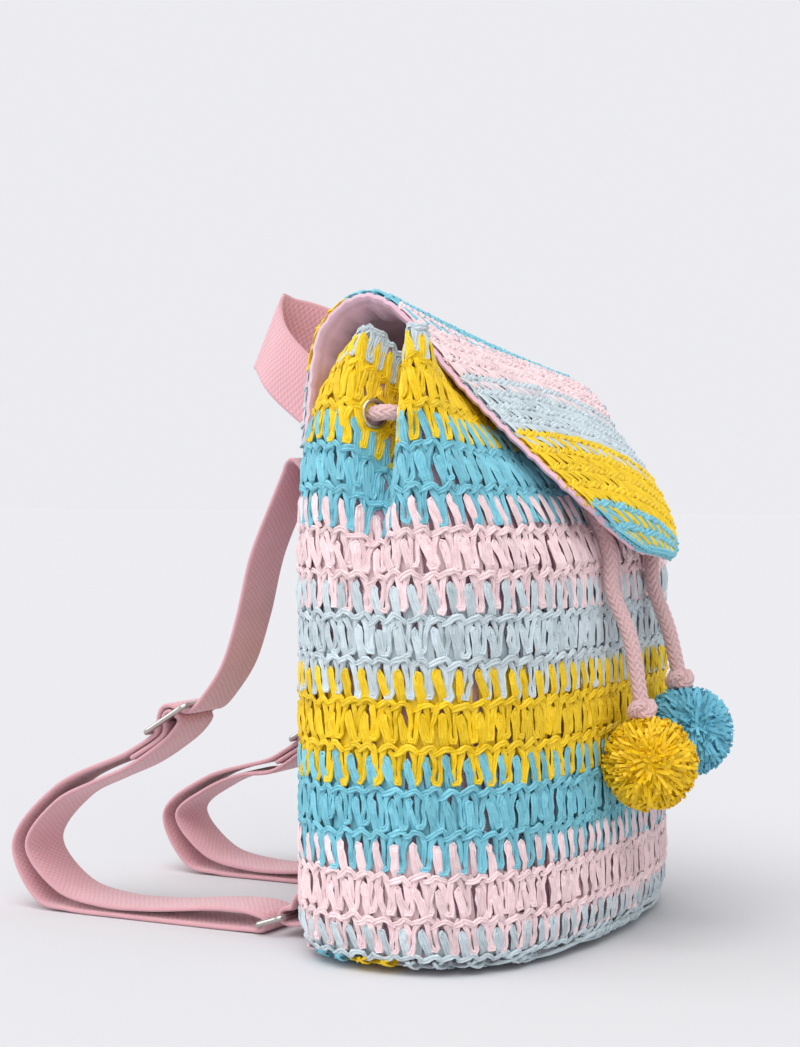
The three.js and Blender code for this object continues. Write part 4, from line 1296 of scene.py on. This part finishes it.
def handle_stations():
    side = 0.5 - HANDLE_SPREAD / (2 * FLAP_HALF_WIDTH)
    root, _ = flap_place(np.array(side), np.array(HANDLE_SEAM), np.array(0.0))
    # The webbing stands upright at its ends and is tipped to this way where it folds over
    fold = np.array([0, -0.416, 0.909])
    stations = []
    for way in np.linspace(-1, 1, 17):
        right = max(way, 0)
        reach = 1 - way**4 * 0.55 - abs(way) * 0.45
        x = HANDLE_SPREAD * np.sign(way) * abs(way) ** 0.8
        y = root[1] + HANDLE_GAP + reach * HANDLE_REACH - right * HANDLE_FORWARD
        z = HANDLE_HEIGHT + reach * HANDLE_RISE + HANDLE_TWIST * np.sign(way) * abs(way) ** 0.5
        tipped = lerp(np.array([0, -right / 4, 1.0]), fold, smoothstep(reach, 0, 0.8))
        stations.append((np.array([x, y, z]), unit(tipped)))
    return stations


def webbing_band(name, stations, material, node):
    """A woven band along stations."""
    route = np.array([np.concatenate([point, across]) for point, across in stations])
    smooth = catmull_rom(route[:, :3], 12)
    turns = np.linspace(0, len(stations) - 1, len(smooth))
    across = read_off(turns, np.arange(len(stations)), route[:, 3:])
    lengths = run_lengths(smooth)
    steps = np.linspace(0, lengths[-1], round(lengths[-1] / WEBBING_STEP) + 1)
    line = read_off(steps, lengths, smooth)
    across = unit(read_off(steps, lengths, across))
    outs = np.cross(unit(np.gradient(line, axis=0)), across)
    sides = -across / np.linalg.norm(outs, axis=-1, keepdims=True)
    skin = Skin()
    skin.tape(line, outs, WEBBING_WIDTH, WEBBING_THICKNESS, band_section(), sides=sides[None])
    skin.corners = [corners * (2 * WEBBING_WIDTH, 1) for corners in skin.corners]
    made = skin.piece(name, material, "cotton_webbing", [node])
    return made


class STRAWBAG_OT_webbing(bpy.types.Operator):
    """Lay the shoulder straps, ring tabs and grab loop"""

    bl_idname = "straw_bag.webbing"
    bl_label = "Webbing"

    def execute(self, context):
        sizes, colours = settings(context)
        rib = sizes.webbing_rib / MM
        # The last number is the tone of the painted shade in the weave's dips
        cotton = cotton_material("Basket-woven cotton webbing", colours.webbing, (rib, 1.3 * rib), 0.8)
        for name, way in (("left", -1), ("right", 1)):
            x = way * STRAP_SPREAD
            strap = strap_stations(x, STRAP_LIES[name])
            webbing_band(f"strap_{name}_webbing", strap, cotton, f"strap_{name}")
            webbing_band(f"tab_{name}_webbing", tab_stations(x), cotton, f"tab_{name}")
        webbing_band("grab_loop_webbing", handle_stations(), cotton, "handle_loop")
        return {"FINISHED"}


# Metal


def rounded_frame(width, height, radius):
    """Points round a rectangle with round corners, about its centre."""
    points = []
    for quarter, (sx, sy) in enumerate(((1, 1), (-1, 1), (-1, -1), (1, -1))):
        middle = (sx * (width / 2 - radius), sy * (height / 2 - radius))
        for angle in np.radians(np.linspace(0, 90, 9) + 90 * quarter):
            points.append((middle[0] + radius * math.cos(angle), middle[1] + radius * math.sin(angle)))
    return even_run(np.array([*points, points[0]]), 1.0)[:-1]


def standing(points, x, away, height, tilt):
    """Flat points turned to lie along a strap at a place behind the bag."""
    made = np.zeros((len(points), 3))
    made[:, 0] = x + points[:, 0]
    made[:, 1] = away + points[:, 1] * math.cos(tilt)
    made[:, 2] = height + points[:, 1] * math.sin(tilt)
    return made


class STRAWBAG_OT_metal(bpy.types.Operator):
    """Bend the sliders and rings, and press the eyelets"""

    bl_idname = "straw_bag.metal"
    bl_label = "Metal"

    def execute(self, context):
        _, colours = settings(context)
        nickel = nickel_material(colours.metal)
        for name, way in (("left", -1), ("right", 1)):
            x = way * STRAP_SPREAD
            self.add_slider(f"slider_{name}", x, STRAP_LIES[name], nickel)
            self.add_ring(f"ring_{name}", x, nickel)
        for name, seat in EYELET_SEATS.items():
            self.add_eyelet(f"eyelet_{name}", seat, nickel)
        return {"FINISHED"}

    def add_slider(self, node, x, lie, nickel):
        place = (x, BACK_FACE + lie[0], lie[1], SLIDER_TILT)
        out = np.array([0, -math.sin(SLIDER_TILT), math.cos(SLIDER_TILT)])
        rim = rounded_frame(METAL_WIDTH - BAR_WIDTH, SLIDER_LENGTH - BAR_WIDTH, SLIDER_CORNER)
        bar = np.linspace((-METAL_WIDTH / 2 + 2, 0), (METAL_WIDTH / 2 - 2, 0), 12)
        skin = Skin()
        section = oval_section(12, 0.6)
        skin.tape(standing(rim, *place), out, SIDE_BAR, SLIDER_THICKNESS, section, closed=True)
        skin.tape(standing(bar, *place), out, BAR_WIDTH, SLIDER_THICKNESS, section)
        skin.piece(f"{node}_wire", nickel, "nickel", [node])

    def add_ring(self, node, x, nickel):
        inner, outer = ring_place(x)
        tilt = math.atan2(RING_STRAP_HEIGHT - RING_HEIGHT, outer - inner)
        out = np.array([0, -math.sin(tilt), math.cos(tilt)])
        flat = rounded_frame(METAL_WIDTH - RING_THICKNESS, RING_BARS, RING_CORNER)
        rim = standing(flat, x, (inner + outer) / 2, (RING_HEIGHT + RING_STRAP_HEIGHT) / 2, tilt)
        skin = Skin()
        skin.tape(rim, out, RING_THICKNESS, RING_THICKNESS, oval_section(12), closed=True)
        skin.piece(f"{node}_wire", nickel, "nickel", [node])

    def add_eyelet(self, node, seat, nickel):
        point, out, depth = seat
        flat, up = beside_eyelet(out)
        angles = np.linspace(0, 2 * np.pi, 48, endpoint=False)
        spokes = np.cos(angles)[:, None] * flat + np.sin(angles)[:, None] * up
        bore = EYELET_BORE / 2
        # Pressed rim, tube through the wall and rolled inner end, as distance from the axis and height
        outline = [
            (bore, -depth - 1),
            (bore, 0.2),
            (bore + 0.3, 1.2),
            (bore + 1.0, 1.8),
            (bore + 1.8, 1.5),
            (EYELET_FLANGE / 2, 0.5),
            (EYELET_FLANGE / 2 - 0.2, 0.0),
            (bore + 0.8, 0.0),
            (bore + 0.8, -depth),
            (bore + 1.8, -depth - 0.3),
            (bore + 1.6, -depth - 1.2),
            (bore, -depth - 1),
        ]
        rings = [point + spokes * radius + out * height for radius, height in outline]
        skin = Skin()
        skin.grid(np.array(rings), wrapped=True)
        skin.piece(f"{node}_rim", nickel, "nickel", [node])


# Drawcord and pompoms


def carried_frames(line):
    """Directions beside a line that turn as little as they can along it."""
    ahead = unit(np.gradient(line, axis=0))
    side = np.cross(ahead[0], (0.3, 0.2, 1.0))
    sides = []
    for way in ahead:
        side = side - way * np.dot(side, way)
        side = side / np.linalg.norm(side)
        sides.append(side)
    sides = np.array(sides)
    return sides, np.cross(ahead, sides)


def add_braid(skin, line, pitch, radius=CORD_RADIUS):
    """Sixteen strands, eight each way, that pass over two and under two round a line of equal steps."""
    first, second = carried_frames(line)
    lengths = run_lengths(line)
    for strand in range(16):
        way = 1 if strand % 2 == 0 else -1
        angle = way * 2 * np.pi * lengths / pitch + strand // 2 * np.pi / 4
        weave = np.cos(4 * angle + np.pi / 4) * way
        spoke = np.cos(angle)[:, None] * first + np.sin(angle)[:, None] * second
        path = line + spoke * (radius * (BRAID_REACH + BRAID_WEAVE * weave))[:, None]
        skin.tape(path, spoke, BRAID_WIDTH * radius, BRAID_DEPTH * radius, oval_section(6))


class STRAWBAG_OT_drawcord(bpy.types.Operator):
    """Thread the braided drawcord and hang its two tails"""

    bl_idname = "straw_bag.drawcord"
    bl_label = "Drawcord"

    def execute(self, context):
        sizes, colours = settings(context)
        cotton = cord_material(colours.cord)
        pitch = sizes.braid_pitch / MM
        skin = Skin()
        add_braid(skin, even_run(catmull_rom(threaded_route(), 10), THREADED_STEP), pitch)
        skin.piece("drawcord_threaded", cotton, "cotton_cord", ["drawcord"])
        for eyelet, tail in (("front_left", "yellow"), ("front_right", "turquoise")):
            knot = knot_place(tail, sizes)
            line = even_run(catmull_rom(tail_route(eyelet, knot), 12), TAIL_STEP)
            skin = Skin()
            add_braid(skin, line, pitch)
            made = skin.piece(f"drawcord_tail_{tail}", cotton, "cotton_cord", ["drawcord"])
            knotted = self.add_knot(tail, knot, pitch, cotton)
        return {"FINISHED"}

    def add_knot(self, tail, place, pitch, cotton):
        """An overhand knot pulled tight above the pompom: a flattened trefoil, set a little low."""
        turns = np.linspace(0, 2 * np.pi, 90)
        x = np.sin(turns) + 2 * np.sin(2 * turns)
        y = np.cos(turns) - 2 * np.cos(2 * turns)
        z = -np.sin(3 * turns) * 1.9
        low = np.array(place) - (0, 0, KNOT_DROP)
        line = even_run(low + np.stack([x, y, z], axis=-1) * KNOT_SIZE, TAIL_STEP)
        skin = Skin()
        add_braid(skin, line, pitch, 0.84 * CORD_RADIUS)
        return skin.piece(f"drawcord_knot_{tail}", cotton, "cotton_cord", ["drawcord"])


class STRAWBAG_OT_pompoms(bpy.types.Operator):
    """Bundle the two pompoms from cut strips of straw"""

    bl_idname = "straw_bag.pompoms"
    bl_label = "Pompoms"

    def execute(self, context):
        sizes, colours = settings(context)
        count = sizes.pompom_strips
        radius = sizes.pompom / MM / 2
        for seed, (name, place) in enumerate(POMPOM_PLACES.items()):
            rng = np.random.default_rng(41 + seed)
            turn = np.pi * (3 - math.sqrt(5)) * np.arange(count)
            height = 1 - 2 * (np.arange(count) + 0.5) / count
            flat = np.sqrt(1 - height**2)
            spokes = np.stack([flat * np.cos(turn), flat * np.sin(turn), height], axis=-1)
            # Strips part from the middle of each half of the bundle and lean outwards from it
            middle = unit(np.array(POMPOM_MIDDLES[name]))
            beside = spokes @ middle
            lean = (spokes * beside[:, None] - middle) * beside[:, None]
            bend = lean * rng.uniform(0.5, 1.0, (count, 1)) + rng.normal(size=(count, 3)) * STRIP_STRAY
            shares = np.array([0, 0.5, 1.0])[:, None]
            ways = unit(spokes[:, None] + bend[:, None] * shares)
            reach = radius * (STRIP_ROOT + rng.uniform(*STRIP_REACH, (count, 1, 1)) * shares)
            paths = np.array(place) + ways * reach
            facing = unit(spokes + rng.normal(size=(count, 3)) * 0.35)
            widths = rng.uniform(*STRIP_WIDTH, (count, 1))
            depths = rng.uniform(*STRIP_THICKNESS, (count, 1))
            skin = Skin(smooth=False)
            self.add_heart(skin, place, radius * HEART_SHARE)
            skin.tapes(paths, facing[:, None], widths, depths, oval_section(4), rng.uniform(0, 1, count))
            rgb = getattr(colours, f"pompom_{name}")
            material = straw_material(f"Cut paper straw {name}", rgb, POMPOM_SPREAD)
            skin.piece(f"pompom_{name}_straw", material, f"{name}_straw", [f"pompom_{name}"])
        return {"FINISHED"}

    def add_heart(self, skin, place, radius):
        """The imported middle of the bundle, as a ball between the strips."""
        down = np.linspace(0.02, np.pi - 0.02, 14)[:, None]
        around = np.linspace(0, 2 * np.pi, 24, endpoint=False)
        x = np.sin(down) * np.cos(around)
        y = np.sin(down) * np.sin(around)
        ball = np.stack(np.broadcast_arrays(x, y, np.cos(down)), axis=-1)
        skin.grid(np.array(place) + ball * radius, wrapped=True)


# Stage

CAMERA_PLACE = (-0.997, -0.464, 0.225)
CAMERA_AIM = (0.888, 0.460, -0.021)
FRAME_HEIGHT = 1047
FOCAL_PIXELS = 2185
AMBIENT = 0.64  # light from all round
LAMP_SPREAD = math.radians(50)  # how wide each lamp looks, for soft shadows
# Each lamp's strength and the way it shines
LAMPS = {
    "key": (1.65, (0.55, 0.1, -1.0)),
    "fill": (0.4, (0.6, 0.5, -0.35)),
    "back": (1.0, (0.5, -0.85, -0.3)),
}


def add_aimed(scene, name, data, way):
    """A camera or lamp that looks along a way."""
    made = bpy.data.objects.new(name, data)
    made.rotation_mode = "QUATERNION"
    made.rotation_quaternion = Vector(way).to_track_quat("-Z", "Y")
    scene.collection.objects.link(made)
    return made


class STRAWBAG_OT_stage(bpy.types.Operator):
    """Set the pale floor, the soft light and the camera"""

    bl_idname = "straw_bag.stage"
    bl_label = "Stage"

    def execute(self, context):
        _, colours = settings(context)
        scene = context.scene
        scene.view_settings.view_transform = "Standard"
        lens = bpy.data.cameras.new("Camera")
        lens.sensor_width = 36
        lens.lens = FOCAL_PIXELS / FRAME_HEIGHT * lens.sensor_width
        camera = add_aimed(scene, "Camera", lens, CAMERA_AIM)
        camera.location = CAMERA_PLACE
        scene.camera = camera
        self.add_floor(scene, colours)
        self.add_light(scene, colours)
        return {"FINISHED"}

    def add_floor(self, scene, colours):
        reach = 12.0
        mesh = bpy.data.meshes.new("floor")
        corners = [(-reach, -reach, 0), (reach, -reach, 0), (reach, reach, 0), (-reach, reach, 0)]
        mesh.from_pydata(corners, [], [(0, 1, 2, 3)])
        floor = bpy.data.objects.new("floor", mesh)
        scene.collection.objects.link(floor)
        made, tree = new_material("Matt paper floor")
        look = {"Roughness": 0.9, "Specular IOR Level": 0.1}
        finish_material(tree, {"Base Color": (*colours.floor, 1), **look})
        mesh.materials.append(made)

    def add_light(self, scene, colours):
        world = bpy.data.worlds.new("Studio")
        world.use_nodes = True
        tree = world.node_tree
        tree.nodes.clear()
        ray = add_node(tree, "ShaderNodeLightPath")
        seen = ray.outputs["Is Camera Ray"]
        for kind in ("Is Glossy Ray", "Is Transmission Ray"):
            either = {0: seen, 1: ray.outputs[kind]}
            seen = add_node(tree, "ShaderNodeMath", either, operation="MAXIMUM").outputs[0]
        light = add_node(tree, "ShaderNodeBackground", {"Color": (1, 1, 1, 1), "Strength": AMBIENT})
        backdrop = add_node(tree, "ShaderNodeBackground", {"Color": (*colours.backdrop, 1)})
        sides = {0: seen, 1: light.outputs[0], 2: backdrop.outputs[0]}
        mixed = add_node(tree, "ShaderNodeMixShader", sides)
        add_node(tree, "ShaderNodeOutputWorld", {"Surface": mixed.outputs[0]})
        scene.world = world
        for name, (strength, way) in LAMPS.items():
            sun = bpy.data.lights.new(name, "SUN")
            sun.energy = strength
            sun.angle = LAMP_SPREAD
            add_aimed(scene, name, sun, way)


class STRAWBAG_PT_panel(bpy.types.Panel):
    """Lists the bag's pieces in the order they are made"""

    bl_label = "Straw Backpack"
    bl_space_type = "VIEW_3D"
    bl_region_type = "UI"
    bl_category = "Straw Backpack"

    def draw(self, context):
        for operator in OPERATORS:
            self.layout.operator(operator.bl_idname)


OPERATORS = (
    STRAWBAG_OT_stage,
    STRAWBAG_OT_pompoms,
    STRAWBAG_OT_drawcord,
    STRAWBAG_OT_wall,
    STRAWBAG_OT_base,
    STRAWBAG_OT_linings,
    STRAWBAG_OT_flap,
    STRAWBAG_OT_webbing,
    STRAWBAG_OT_metal,
)
CLASSES = (StrawBagSizes, StrawBagColours, *OPERATORS, STRAWBAG_PT_panel)


def register():
    for made in CLASSES:
        bpy.utils.register_class(made)
    bpy.types.Scene.straw_bag_sizes = PointerProperty(type=StrawBagSizes)
    bpy.types.Scene.straw_bag_colours = PointerProperty(type=StrawBagColours)


def unregister():
    del bpy.types.Scene.straw_bag_colours
    del bpy.types.Scene.straw_bag_sizes
    for made in reversed(CLASSES):
        bpy.utils.unregister_class(made)


def main():
    register()
    bpy.ops.straw_bag.stage()
    bpy.ops.straw_bag.pompoms()
    bpy.ops.straw_bag.drawcord()
    bpy.ops.straw_bag.wall()
    bpy.ops.straw_bag.base()
    bpy.ops.straw_bag.linings()
    bpy.ops.straw_bag.flap()
    bpy.ops.straw_bag.webbing()
    bpy.ops.straw_bag.metal()


if __name__ == "__main__":
    main()
